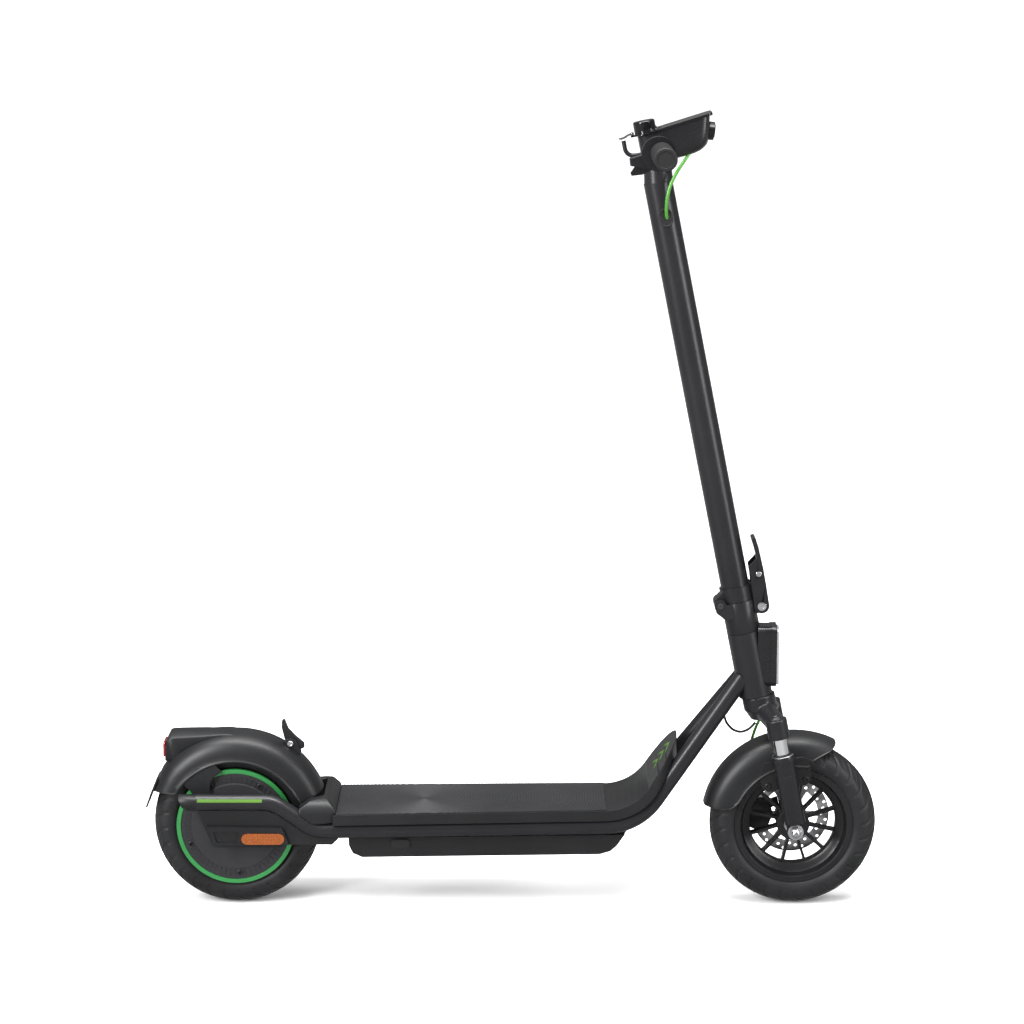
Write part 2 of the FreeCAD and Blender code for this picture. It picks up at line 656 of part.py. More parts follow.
def brake_calliper():
    """The disc brake calliper behind the left leg, straddling the disc."""
    body = slab([(-52, 122), (-50, 150), (-38, 162), (-16, 160), (-8, 150), (-8, 132), (-18, 116),
                 (-40, 114)], 29.7, 46)
    body = rounded(body, 3.0, (0, 1, 0))
    gap = cross_rod(61.5, AXLE_AHEAD, AXLE_HEIGHT, ROTOR_IN - 0.7, ROTOR_OUT + 0.7)
    foot = slab([(-12, 150), (-12, 136), (4.6, 140), (4.6, 152)], 50, 56)
    arm = slab([(-16, 158), (-16, 134), (-8, 134), (-8, 158)], 44, 56)
    return leaned(merged(body.cut(gap), arm, foot).cut(post(LEG_RADIUS, 100, 250, LEG_X, LEG_Y)))


def lower_cable():
    """The green brake cable from the crown down behind the mudguard to the calliper."""
    points = [(2.5, 47, 284), (-9, 48, 268), (-20, 49, 247), (-28, 50, 222), (-31, 50, 196),
              (-29.5, 48, 176), (-27, 43, 162.4)]
    return cable("lower_cable", [leaned_point(*point) for point in points], 2.3)


# ---------------------------------------------------------------- wheels

def tyre(x):
    """A hollow road tyre, sections made of tangent arcs."""
    def section(crown, shoulder, wall, bead, half_crown, half_wall, half_bead):
        """The solid ring swept by one closed section."""
        left = [V(x + crown, 0, TYRE_RADIUS)]
        edges = []
        crown_arc = Part.Arc(V(x + shoulder, -half_crown, TYRE_RADIUS), left[0],
                             V(x + shoulder, half_crown, TYRE_RADIUS))
        edges.append(crown_arc.toShape())
        for side in (-1, 1):
            edges.append(Part.Arc(V(x + shoulder, side * half_crown, TYRE_RADIUS),
                                  V(x + wall, side * half_wall, TYRE_RADIUS),
                                  V(x + bead, side * half_bead, TYRE_RADIUS)).toShape())
        edges.append(Part.LineSegment(V(x + bead, -half_bead, TYRE_RADIUS),
                                      V(x + bead, half_bead, TYRE_RADIUS)).toShape())
        face = Part.Face(Part.Wire(Part.__sortEdges__(edges)))
        return face.revolve(V(x, 0, TYRE_RADIUS), V(0, -1, 0), 360)

    outer = section(TYRE_RADIUS, 116.0, 104.0, 86.0, 29.0, TYRE_HALF, 25.2)
    cavity = section(TYRE_RADIUS - 7, 111.0, 103.0, 91.0, 24.0, TYRE_HALF - 4.5, 20.0)
    flanges = spun([(RIM_RADIUS + 0.5, -40), (RIM_RADIUS + 0.5, 40), (70, 40), (70, -40)], x, TYRE_RADIUS)
    flanges = flanges.cut(cross_rod(RIM_RADIUS + 2, x, TYRE_RADIUS, -25.4, 25.4))
    return outer.cut(cavity).cut(flanges)


def rim_seat():
    """The tyre seat shared by both rims, as (radius, y) corners."""
    return [(85.9, -25.4), (80, -14), (80, 14), (85.9, 25.4)]


def front_rim():
    """The cast front wheel: twelve thin spokes between the hub and a deep rim."""
    outline = [(RIM_RADIUS, -29), (RIM_RADIUS, -25.6)] + rim_seat()
    outline += [(RIM_RADIUS, 25.6), (RIM_RADIUS, 29), (81.5, 28), (78, 15), (66, 9), (66, -9), (78, -15),
                (81.5, -28)]
    wheel = spun(outline, FRONT_X, TYRE_RADIUS)
    hub = cross_rod(25.0, FRONT_X, TYRE_RADIUS, -22, ROTOR_IN)
    spokes = []
    for index in range(12):
        spoke = block(FRONT_X + 22, FRONT_X + 68, -6.5, 6.5, TYRE_RADIUS - 2.2, TYRE_RADIUS + 2.2)
        spoke.rotate(V(FRONT_X, 0, TYRE_RADIUS), V(0, -1, 0), 17.5 + 30 * index)
        spokes.append(spoke)
    wheel = merged(wheel, hub, *spokes)
    wheel = wheel.cut(cross_rod(8.0, FRONT_X, TYRE_RADIUS, -50, 50))
    wheel = wheel.cut(cross_rod(14.0, FRONT_X, TYRE_RADIUS, -23, -12))
    return wheel.cut(cross_rod(14.0, FRONT_X, TYRE_RADIUS, ROTOR_IN - 10, ROTOR_IN + 1))


def front_bearings():
    """Two ball bearings that carry the front hub on its axle."""
    rings = []
    for low, high in ((-22, -12), (ROTOR_IN - 10, ROTOR_IN)):
        ring = cross_rod(14.0, FRONT_X, TYRE_RADIUS, low, high)
        rings.append(ring.cut(cross_rod(FRONT_AXLE_RADIUS + RUNNING_GAP, FRONT_X, TYRE_RADIUS, low - 1,
                                        high + 1)))
    return group(*rings)


def brake_rotor():
    """The drilled brake disc on the left side of the front hub."""
    band = cross_rod(60.0, FRONT_X, TYRE_RADIUS, ROTOR_IN, ROTOR_OUT)
    band = band.cut(cross_rod(43.0, FRONT_X, TYRE_RADIUS, ROTOR_IN - 1, ROTOR_OUT + 1))
    carrier = cross_rod(24.0, FRONT_X, TYRE_RADIUS, ROTOR_IN, ROTOR_OUT)
    arms = []
    for index in range(6):
        arm = block(FRONT_X + 20, FRONT_X + 46, ROTOR_IN, ROTOR_OUT, TYRE_RADIUS - 4, TYRE_RADIUS + 4)
        arm.rotate(V(FRONT_X, 0, TYRE_RADIUS), V(0, -1, 0), 60 * index)
        arms.append(arm)
    disc = merged(band, carrier, *arms)
    holes = []
    for index in range(36):
        reach, angle = (47.5, 51.5, 55.5)[index % 3], math.radians(10 * index)
        holes.append(cross_rod(2.3, FRONT_X + reach * math.cos(angle), TYRE_RADIUS + reach * math.sin(angle),
                               ROTOR_IN - 1, ROTOR_OUT + 1))
    holes.append(cross_rod(14.5, FRONT_X, TYRE_RADIUS, ROTOR_IN - 1, ROTOR_OUT + 1))
    return disc.cut(Part.makeCompound(holes))


def motor_shell():
    """The turning shell of the hub motor, which is also the rear rim."""
    outline = [(88.0, -30.5), (88.0, -25.6)] + rim_seat()
    outline += [(88.0, 25.6), (88.0, 31), (72, 37), (REAR_AXLE_RADIUS + RUNNING_GAP, 37),
                (REAR_AXLE_RADIUS + RUNNING_GAP, 32), (68, 32), (74, 26), (74, -30.5)]
    return spun(outline, REAR_X, TYRE_RADIUS)


def rim_ring():
    """The coloured ring around the motor's right face."""
    return spun([(RIM_RADIUS - 0.2, -37), (RIM_RADIUS - 0.2, -30.6), (83.8, -30.6), (83.8, -37)],
                REAR_X, TYRE_RADIUS)


def motor_cover():
    """The screwed cover on the right of the motor, with its ring of short cooling fins."""
    disc = spun([(83.7, -35.6), (83.7, -30.6), (REAR_AXLE_RADIUS + RUNNING_GAP, -30.6),
                 (REAR_AXLE_RADIUS + RUNNING_GAP, -37.2), (67, -37.2), (68, -35.6)], REAR_X, TYRE_RADIUS)
    fins = []
    for index in range(60):
        if index % 12 == 9:
            continue
        fin = block(REAR_X + 69.5, REAR_X + 79, -36.8, -35, TYRE_RADIUS - 0.8, TYRE_RADIUS + 0.8)
        fin.rotate(V(REAR_X, 0, TYRE_RADIUS), V(0, -1, 0), 6 * index + 148.5)
        fins.append(fin)
    return merged(disc, *fins)


# ---------------------------------------------------------------- stem

def stem_tube():
    """The stem with its welded collar, hinge knuckle, latch lug and cable slot."""
    tube = merged(post(STEM_RADIUS, 500, STEM_TOP), post(24.5, SEAM + 0.3, 508))
    knuckle = slab([(-36.8, SEAM), (-36, 492), (-20, 503), (-14, 503), (-14, SEAM + 0.3), (-28, SEAM)],
                   -14, 14)
    knuckle = merged(knuckle, cross_rod(8.8, *HINGE, -14, 14))
    lug = slab([(15, 487), (25.6, 487), (25.6, 508), (20, 514), (15, 514)], -10, 10)
    stem = merged(tube, knuckle, lug)
    for side in (-1, 1):
        inner, outer = sorted((side * 14, side * 30))
        stem = stem.cut(cross_rod(9.4, *HINGE, inner, outer))
    stem = stem.cut(post(19.0, 400, 1200))
    stem = stem.cut(cross_rod(4.0 + RUNNING_GAP, *HINGE, -30, 30))
    slot = merged(block(-6.2, 8.8, -30, -10, 1073.6, 1081.6), cross_rod(7.5, 1.3, 1073.6, -30, -10),
                  cross_rod(7.5, 1.3, 1081.6, -30, -10))
    return leaned(stem.cut(slot))


def stem_neck():
    """The tapering neck between the stem and the control head."""
    low = Part.Wire(Part.Circle(V(1.0, 0, STEM_TOP), V(0, 0, 1), 21.6).toShape())
    high = Part.Wire(Part.Circle(V(4.5, 0, 1160), V(0, 0, 1), 20.2).toShape())
    neck = merged(Part.makeLoft([low, high], True), post(18.8, 1100, 1135))
    return leaned(neck)


HEAD_SLOPE = math.atan2(12.0, 113.0)


def head_housing():
    """The long control head that clamps the handlebar and carries the front reflector."""
    outline = [(-17, 1200.2), (-17, 1170), (-13, 1160.2), (32, 1160.2), (52, 1166), (61, 1170),
               (72, 1164), (76, 1165), (88, 1174), (82, 1188), (92.5, 1200), (96, 1212.2)]
    body = slab(outline, -30, 30)
    section = [V(-40, -30, 1230), V(-40, -30, 1190), V(-40, -24, 1166), V(-40, -8, 1158),
               V(-40, 8, 1158), V(-40, 24, 1166), V(-40, 30, 1190), V(-40, 30, 1230)]
    edges = [Part.LineSegment(section[0], section[1]).toShape(), Part.Arc(*section[1:4]).toShape(),
             Part.LineSegment(section[3], section[4]).toShape(), Part.Arc(*section[4:7]).toShape(),
             Part.LineSegment(section[6], section[7]).toShape(),
             Part.LineSegment(section[7], section[0]).toShape()]
    body = body.common(Part.Face(Part.Wire(edges)).extrude(V(200, 0, 0)))
    puck = rod(13.2, (88, 0, 1186), (100.5, 0, 1182))
    neck = rod(9.0, (76, 0, 1189), (90, 0, 1185.4))
    body = merged(body, puck, neck).cut(cross_rod(BAR_RADIUS, BAR_AHEAD, BAR_HEIGHT, -60, 60))
    normal = V(-math.sin(HEAD_SLOPE), 0, math.cos(HEAD_SLOPE))
    well = Part.makeCylinder(6.6, 10, V(14, 0, 1203.2) - normal * 4, normal)
    exit_hole = rod(2.6, (63, -13.5, 1174), (50, -20, 1160.5))
    return leaned(body.cut(well).cut(exit_hole))


def display_panel():
    """The glossy top plate with a round hole for the power button."""
    plate = slab([(-17, 1200.5), (96.5, 1212.5), (96.5, 1216.4), (-17, 1204.4)], -30.5, 30.5)
    normal = V(-math.sin(HEAD_SLOPE), 0, math.cos(HEAD_SLOPE))
    upright = [edge for edge in plate.Edges
               if abs(edge.Vertexes[0].X - edge.Vertexes[-1].X) < 1e-6
               and abs(edge.Vertexes[0].Y - edge.Vertexes[-1].Y) < 1e-6]
    plate = plate.makeFillet(9.0, upright)
    return leaned(plate.cut(Part.makeCylinder(6.6, 20, V(14, 0, 1203.2) - normal * 5, normal)))


def power_button():
    """The round power button in the display panel."""
    normal = V(-math.sin(HEAD_SLOPE), 0, math.cos(HEAD_SLOPE))
    return leaned(Part.makeCylinder(6.2, 5.8, V(14, 0, 1203.2) - normal * 0.8, normal))


def handlebar():
    """The straight bar through the control head."""
    bar = cross_rod(BAR_RADIUS, BAR_AHEAD, BAR_HEIGHT, -262, 262)
    return leaned(bar.cut(cross_rod(BAR_RADIUS - 2.2, BAR_AHEAD, BAR_HEIGHT, -270, 270)))


def grips():
    """Two round grips closed at their outer ends."""
    grip = cross_rod(GRIP_RADIUS, BAR_AHEAD, BAR_HEIGHT, -BAR_END, -GRIP_IN)
    grip = grip.makeFillet(1.5, [edge for edge in grip.Edges if edge.Closed])
    return both_sides(leaned(grip.cut(cross_rod(BAR_RADIUS, BAR_AHEAD, BAR_HEIGHT, -262, -100))))


THROTTLE = (5.0, BAR_HEIGHT)


def throttle_body():
    """The thumb throttle's drum and flange on the right of the bar, with its cable stop below."""
    drum = cross_rod(20.0, *THROTTLE, -146.5, -120)
    flange = cross_rod(25.0, *THROTTLE, -149.6, -146.4)
    inner = cross_rod(24.0, *THROTTLE, -127.5, -120)
    stop = slab([(-40, 1161), (-39, 1157), (-23, 1155.5), (-8, 1160), (-4, 1172), (-30, 1171)], -127.4, -120)
    body = merged(drum, flange, inner, stop)
    return leaned(body.cut(cross_rod(BAR_RADIUS, BAR_AHEAD, BAR_HEIGHT, -160, -100)))


def throttle_paddle():
    """The thumb paddle on its ring around the drum."""
    ring = cross_rod(24.6, *THROTTLE, -146.0, -128.0)
    blade = slab([(-10, 1186), (-37.5, 1183), (-38.5, 1172.5), (-19, 1166), (-8, 1163)], -146.0, -128.0)
    paddle = merged(ring, blade)
    return leaned(paddle.cut(cross_rod(20.08, *THROTTLE, -150, -120)))


def brake_perch():
    """The clamp on the left of the bar that holds the brake lever's pivot."""
    clamp = cross_rod(16.0, BAR_AHEAD, BAR_HEIGHT, 112, 128)
    arm = block(16, 46, 110, 127, 1173.5, 1189.5)
    mouth = block(28, 60, 105, 140, 1176.7, 1186.3)
    pivot = post(2.5, 1173.5, 1189.5, 38, 118)
    perch = merged(merged(clamp, arm).cut(mouth), pivot)
    return leaned(perch.cut(cross_rod(BAR_RADIUS, BAR_AHEAD, BAR_HEIGHT, 100, 140)))


def brake_lever():
    """The brake lever in front of the left grip."""
    blade = [(33, 112), (44, 112), (50, 130), (57, 170), (64, 225), (60, 232), (56, 228), (49, 172),
             (42, 134), (33, 124)]
    corners = [V(x, y, 1177.0) for x, y in blade]
    lever = Part.Face(Part.makePolygon(corners + corners[:1])).extrude(V(0, 0, 9.0))
    return leaned(lever.cut(post(2.5 + RUNNING_GAP, 1170, 1195, 38, 118)))


BELL = (-2.0, 78.0)


def bell_body():
    """The upright bell on its clamp, with the striker's pivot at the back."""
    clamp = cross_rod(15.0, BAR_AHEAD, BAR_HEIGHT, 70, 86)
    dome = post(16.5, 1196, 1217.5, *BELL)
    dome = dome.makeFillet(3.0, [edge for edge in dome.Edges if edge.Closed and edge.BoundBox.ZMin > 1217])
    neck = post(9.0, 1185, 1197, 2.0, BELL[1])
    ear = block(-25.0, -15, BELL[1] - 4, BELL[1] + 4, 1196, 1198.6)
    pin = post(1.2, 1197, 1203.4, -22.5, BELL[1])
    bell = merged(clamp, dome, neck, ear, pin)
    return leaned(bell.cut(cross_rod(BAR_RADIUS, BAR_AHEAD, BAR_HEIGHT, 60, 100)))


def bell_striker():
    """The thin finger lever of the bell."""
    hub = post(2.6, 1199.0, 1203.0, -22.5, BELL[1])
    finger = slab([(-23, 1199.2), (-28, 1199.2), (-33, 1196.8), (-40, 1195.6), (-43.5, 1196.6),
                   (-43.5, 1198.4), (-36, 1199.0), (-30, 1201.4), (-23, 1202.8)],
                  BELL[1] - 2.6, BELL[1] + 2.6)
    return leaned(merged(hub, finger).cut(post(1.2 + RUNNING_GAP, 1190, 1210, -22.5, BELL[1])))


def bag_hook():
    """The J-shaped hook behind the head, which also catches the mudguard's claw."""
    points = [(-15.0, 0, 1174.0), (-38.5, 0, 1176.0), (-38.5, 0, 1199.0)]
    return leaned(swept(points, 3.2, [12.0]).cut(block(-17.0, 0, -20, 20, 1150, 1200)))


def brake_cable():
    """The green brake cable that bows out of the head and goes into the stem's slot."""
    points = [(56.5, -17, 1167.2), (44, -23, 1155.5), (29.5, -27.5, 1141.5), (16, -29, 1124.5),
              (7.5, -28.5, 1106), (3, -24.5, 1087.5), (2, -15.5, 1071.5)]
    return cable("brake_cable", [leaned_point(*point) for point in points], 2.5)


# ---------------------------------------------------------------- folding latch

def fold_lever():
    """The channel-shaped latch lever on the front of the folding joint."""
    outline = [(22.3, 473), (23.4, 489.4), (24.0, 507), (25.2, 520), (25.6, 536), (39.5, 546.4),
               (38.8, 558.7), (36.8, 576), (40.5, 578.2), (43.6, 576), (45.4, 562), (45.9, 547),
               (46.5, 527), (46.2, 503), (45.2, 472)]
    lever = merged(slab(outline, -16, 16), cross_rod(11.5, *LEVER_PIN, -16, 16))
    inside = slab([(0, 440), (0, 548), (35.8, 548), (42.8, 540), (42.8, 484), (46.5, 478), (46.5, 440)],
                  -13, 13)
    lever = lever.cut(inside)
    lever = lever.cut(cross_rod(4.0 + RUNNING_GAP, *LEVER_PIN, -30, 30))
    return leaned(lever.cut(cross_rod(2.8, *LINK_PIN, -30, 30)))


def latch_link():
    """The link block and its cross pin inside the latch lever."""
    pin = cross_rod(2.8, *LINK_PIN, -17, 17)
    link = slab([(27.0, 503), (33, 500), (40.5, 516), (41.5, 526), (35, 528), (27.0, 518)], -9, 9)
    return leaned(merged(pin, link))


# ---------------------------------------------------------------- write every node

NODES = {
    "head_tube": head_tube, "headset_bearings": headset_bearings, "arm_end_caps": arm_end_caps,
    "side_strips": side_strips, "deck_shell": deck_shell, "deck_mat": deck_mat,
    "rear_cover": rear_cover, "battery_box": battery_box, "battery_pack": battery_pack,
    "controller": controller, "charge_cap": charge_cap, "headlight_case": headlight_case,
    "headlight_lens": headlight_lens, "side_covers": side_covers, "side_reflectors": side_reflectors,
    "motor_stator": motor_stator, "rear_fender": rear_fender, "tail_lens": tail_lens,
    "mud_flap": mud_flap, "kickstand_bracket": kickstand_bracket, "kickstand": kickstand,
    "fender_hook": fender_hook, "loop_cable": loop_cable, "fork_crown": fork_crown,
    "stanchions": stanchions, "fork_springs": fork_springs, "fold_base": fold_base,
    "fold_pins": fold_pins, "fork_legs": fork_legs, "front_axle": front_axle,
    "front_fender": front_fender, "brake_calliper": brake_calliper, "lower_cable": lower_cable,
    "front_rim": front_rim, "front_bearings": front_bearings, "brake_rotor": brake_rotor,
    "motor_shell": motor_shell, "rim_ring": rim_ring, "motor_cover": motor_cover,
    "stem_tube": stem_tube, "stem_neck": stem_neck, "head_housing": head_housing,
    "display_panel": display_panel, "power_button": power_button, "handlebar": handlebar,
    "grips": grips, "throttle_body": throttle_body, "throttle_paddle": throttle_paddle,
    "brake_perch": brake_perch, "brake_lever": brake_lever, "bell_body": bell_body,
    "bell_striker": bell_striker, "bag_hook": bag_hook, "brake_cable": brake_cable,
    "fold_lever": fold_lever, "latch_link": latch_link,
}

for node, make in NODES.items():
    save(node, make())
for side, word in ((-1, "right"), (1, "left")):
    save("frame_tube_" + word, frame_tube(side))
for x, word in ((FRONT_X, "front"), (REAR_X, "rear")):
    save(word + "_tyre", tyre(x))
print("wrote", len(os.listdir("parts")), "files")
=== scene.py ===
import math

import bmesh
import bpy
from mathutils import Matrix, Vector


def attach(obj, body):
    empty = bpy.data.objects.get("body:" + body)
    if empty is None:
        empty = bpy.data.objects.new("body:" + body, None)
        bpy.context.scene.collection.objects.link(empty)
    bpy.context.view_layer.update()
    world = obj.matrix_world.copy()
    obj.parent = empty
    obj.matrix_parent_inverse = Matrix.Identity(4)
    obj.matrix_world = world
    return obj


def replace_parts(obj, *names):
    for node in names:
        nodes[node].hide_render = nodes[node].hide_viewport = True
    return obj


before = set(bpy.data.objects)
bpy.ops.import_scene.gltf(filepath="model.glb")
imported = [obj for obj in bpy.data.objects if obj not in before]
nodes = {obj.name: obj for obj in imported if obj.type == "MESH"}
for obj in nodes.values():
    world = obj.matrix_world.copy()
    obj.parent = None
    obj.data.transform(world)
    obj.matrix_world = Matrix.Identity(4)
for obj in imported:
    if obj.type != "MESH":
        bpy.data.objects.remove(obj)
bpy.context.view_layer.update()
MM = 0.001


# ------------------------------------------------------------------ frame tubes and steering head
# Two bent steel tubes run from the rear axle, under the deck and up to the steering head, where
# they are welded on. All of it is powder coated in one satin black with a faint orange peel.

def finish(name, dark, light, rough, metal=0.0, grain=700.0, relief=0.12, patch=9.0, shine=0.3):
    """A surface: two close shades in soft patches, and a fine grain in its relief and its gloss."""
    material = bpy.data.materials.new(name)
    material.use_nodes = True
    tree = material.node_tree
    shader = tree.nodes["Principled BSDF"]
    shader.inputs["Metallic"].default_value = metal
    shader.inputs["Specular IOR Level"].default_value = shine
    place = tree.nodes.new("ShaderNodeTexCoord")
    place.name = "place"
    patches = tree.nodes.new("ShaderNodeTexNoise")
    patches.name = "patches"
    patches.inputs["Scale"].default_value = patch
    patches.inputs["Detail"].default_value = 4.0
    shades = tree.nodes.new("ShaderNodeValToRGB")
    shades.name = "shades"
    shades.color_ramp.elements[0].position = 0.3
    shades.color_ramp.elements[0].color = (*dark, 1.0)
    shades.color_ramp.elements[1].position = 0.7
    shades.color_ramp.elements[1].color = (*light, 1.0)
    fine = tree.nodes.new("ShaderNodeTexNoise")
    fine.name = "grain"
    fine.inputs["Scale"].default_value = grain
    fine.inputs["Detail"].default_value = 3.0
    gloss = tree.nodes.new("ShaderNodeMapRange")
    gloss.inputs["From Min"].default_value = 0.3
    gloss.inputs["From Max"].default_value = 0.7
    gloss.inputs["To Min"].default_value = rough[0]
    gloss.inputs["To Max"].default_value = rough[1]
    bump = tree.nodes.new("ShaderNodeBump")
    bump.name = "relief"
    bump.inputs["Strength"].default_value = relief
    bump.inputs["Distance"].default_value = 0.0005
    tree.links.new(place.outputs["Object"], patches.inputs["Vector"])
    tree.links.new(place.outputs["Object"], fine.inputs["Vector"])
    tree.links.new(patches.outputs["Fac"], shades.inputs["Fac"])
    tree.links.new(shades.outputs["Color"], shader.inputs["Base Color"])
    tree.links.new(fine.outputs["Fac"], gloss.inputs["Value"])
    tree.links.new(gloss.outputs["Result"], shader.inputs["Roughness"])
    tree.links.new(fine.outputs["Fac"], bump.inputs["Height"])
    tree.links.new(bump.outputs["Normal"], shader.inputs["Normal"])
    return material


def dress(piece, surface, softened=0.0):
    """Give a piece its surface, and round its sharp edges by the given number of millimetres."""
    piece.data.materials.clear()
    piece.data.materials.append(surface)
    if softened:
        weld = piece.modifiers.new("weld", "WELD")
        weld.merge_threshold = 0.00001
        edge = piece.modifiers.new("edge", "BEVEL")
        edge.width = softened * MM
        edge.segments = 2
        edge.limit_method = "ANGLE"
        edge.angle_limit = math.radians(35)
        edge.harden_normals = True
        edge.use_clamp_overlap = True


frame_paint = finish("satin black paint", (0.0063, 0.0061, 0.0073), (0.0085, 0.0083, 0.0096), (0.27, 0.35),
                     shine=0.24)
for name in ("frame_tube_right", "frame_tube_left", "head_tube"):
    dress(nodes[name], frame_paint)

bearing_steel = finish("bearing steel", (0.42, 0.42, 0.43), (0.55, 0.55, 0.56), (0.22, 0.34), 1.0)
dress(nodes["headset_bearings"], bearing_steel)


# ------------------------------------------------------------------ arm ends
# Bevelled plastic plugs close the open ends of the two rear arms, and a coloured strip is let
# into the outer side of each arm.

moulding = finish("moulded black plastic", (0.0056, 0.0057, 0.0062), (0.0081, 0.0082, 0.0088), (0.32, 0.42),
                  grain=1600.0, relief=0.22, shine=0.2)
strip_green = finish("arm strip green", (0.03, 0.0806, 0.0049), (0.0405, 0.1013, 0.0079), (0.36, 0.46))
dress(nodes["arm_end_caps"], moulding, 0.6)
dress(nodes["side_strips"], strip_green)


# ------------------------------------------------------------------ deck
# The platform is one moulded skirt over the tubes that curls up into a ramp in front of the
# rider's feet. A saddle closes its rear end around the mudguard. Three bars decorate the ramp.

dress(nodes["deck_shell"], moulding, 1.2)


def melt(piece, voxel, passes):
    """Remake a piece's skin in fine even faces and soften it, as a moulding or forging is."""
    skin = piece.modifiers.new("skin", "REMESH")
    skin.mode = "VOXEL"
    skin.voxel_size = voxel * MM
    skin.use_smooth_shade = True
    soft = piece.modifiers.new("soft", "SMOOTH")
    soft.factor = 0.5
    soft.iterations = passes


dress(nodes["rear_cover"], moulding)
melt(nodes["rear_cover"], 1.1, 7)

RAMP_FOOT, RAMP_RISE, DECK_SLOPE = (211.19, 196.78), math.radians(56.0), math.radians(0.8)
BAR_STARTS, BAR_REACH, BAR_SLANT, BAR_WIDE = (16.0, 32.0, 48.0), 17.0, 10.0, 5.0
BAR_SUNK, BAR_PROUD = -0.2, 0.25


def on_ramp(up, across, proud):
    """A point on the ramp: up it from its foot, across to the left, and proud of its face."""
    x = RAMP_FOOT[0] + up * math.cos(RAMP_RISE) - proud * math.sin(RAMP_RISE)
    z = RAMP_FOOT[1] + up * math.sin(RAMP_RISE) + proud * math.cos(RAMP_RISE)
    return Vector((x * math.cos(DECK_SLOPE) - z * math.sin(DECK_SLOPE), across,
                   x * math.sin(DECK_SLOPE) + z * math.cos(DECK_SLOPE))) * MM


def placed(name, shape):
    """Make an object of a finished shape and put it in the scene."""
    mesh = bpy.data.meshes.new(name)
    shape.to_mesh(mesh)
    shape.free()
    piece = bpy.data.objects.new(name, mesh)
    bpy.context.scene.collection.objects.link(piece)
    return piece


def prism(name, lower, upper):
    """A solid between two outlines with the same number of corners."""
    shape = bmesh.new()
    rings = [[shape.verts.new(corner) for corner in outline] for outline in (lower, upper)]
    count = len(lower)
    shape.faces.new(rings[0])
    shape.faces.new(rings[1])
    for index in range(count):
        after = (index + 1) % count
        shape.faces.new((rings[0][index], rings[0][after], rings[1][after], rings[1][index]))
    bmesh.ops.recalc_face_normals(shape, faces=shape.faces)
    return placed(name, shape)


for index, start in enumerate(BAR_STARTS):
    corners = [(start, -BAR_REACH), (start + BAR_SLANT, 0.0), (start, BAR_REACH),
               (start + BAR_WIDE, BAR_REACH), (start + BAR_SLANT + BAR_WIDE, 0.0),
               (start + BAR_WIDE, -BAR_REACH)]
    bar = prism("ramp_bar_%d" % index, [on_ramp(*corner, BAR_SUNK) for corner in corners],
                [on_ramp(*corner, BAR_PROUD) for corner in corners])
    dress(bar, strip_green)
    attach(bar, "frame")


# ------------------------------------------------------------------ deck mat
# A thin rubber mat glued to the platform, moulded with fine round grooves that spread from one
# point near its rear, so that shoes hold in every direction.

MAT_TOP, MAT_REAR, MAT_FRONT, MAT_HALF_REAR, MAT_HALF_FRONT = 164.2, -263.0, 146.0, 80.5, 73.5
GROOVE_CENTRE, GROOVE_PITCH, GROOVE_DEPTH, GROOVE_COUNT, MAT_DEEP = -131.0, 4.3, 0.7, 72, 1.7
grip_rubber = finish("mat rubber", (0.0102, 0.0102, 0.0114), (0.0156, 0.0156, 0.0174), (0.46, 0.58),
                     grain=1400.0, relief=0.3, shine=0.22)


def grooved_mat():
    """Rings of quads around the grooves' centre, cut to the mat's outline and given a thickness."""
    shape = bmesh.new()
    steps, turns = 4, 240
    levels = (0.0, 0.0, -GROOVE_DEPTH, -GROOVE_DEPTH * 0.85)
    rings = []
    for index in range(steps, GROOVE_COUNT * steps):
        radius = index * GROOVE_PITCH / steps
        height = MAT_TOP + levels[index % steps]
        ring = []
        for turn in range(turns):
            angle = 2 * math.pi * turn / turns
            ring.append(shape.verts.new((GROOVE_CENTRE + radius * math.cos(angle),
                                         radius * math.sin(angle), height)))
        rings.append(ring)
    middle = shape.verts.new((GROOVE_CENTRE, 0, MAT_TOP))
    for turn in range(turns):
        after = (turn + 1) % turns
        shape.faces.new((middle, rings[0][turn], rings[0][after]))
        for inner, outer in zip(rings, rings[1:]):
            shape.faces.new((inner[turn], outer[turn], outer[after], inner[after]))
    taper = (MAT_HALF_REAR - MAT_HALF_FRONT) / (MAT_FRONT - MAT_REAR)
    cuts = [((MAT_REAR, 0, 0), (-1, 0, 0)), ((MAT_FRONT, 0, 0), (1, 0, 0)),
            ((MAT_REAR, -MAT_HALF_REAR, 0), (taper, -1, 0)), ((MAT_REAR, MAT_HALF_REAR, 0), (taper, 1, 0))]
    for point, normal in cuts:
        parts = list(shape.verts) + list(shape.edges) + list(shape.faces)
        bmesh.ops.bisect_plane(shape, geom=parts, plane_co=point, plane_no=normal, clear_outer=True)
    rim = [edge for edge in shape.edges if edge.is_boundary]
    side = bmesh.ops.extrude_edge_only(shape, edges=rim)["geom"]
    for vert in (item for item in side if isinstance(item, bmesh.types.BMVert)):
        vert.co.z = MAT_TOP - MAT_DEEP
    bmesh.ops.holes_fill(shape, edges=[edge for edge in shape.edges if edge.is_boundary], sides=0)
    bmesh.ops.recalc_face_normals(shape, faces=shape.faces)
    bmesh.ops.transform(shape, matrix=Matrix.Scale(MM, 4), verts=shape.verts)
    bmesh.ops.transform(shape, matrix=Matrix.Rotation(-DECK_SLOPE, 4, "Y"), verts=shape.verts)
    return placed("grooved_mat", shape)


mat = grooved_mat()
dress(mat, grip_rubber)
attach(mat, "frame")
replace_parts(mat, "deck_mat")


# ------------------------------------------------------------------ battery box
# A moulded tray under the deck holds the cell pack and the finned motor controller. A rubber
# flap on its right wall covers the charging socket.

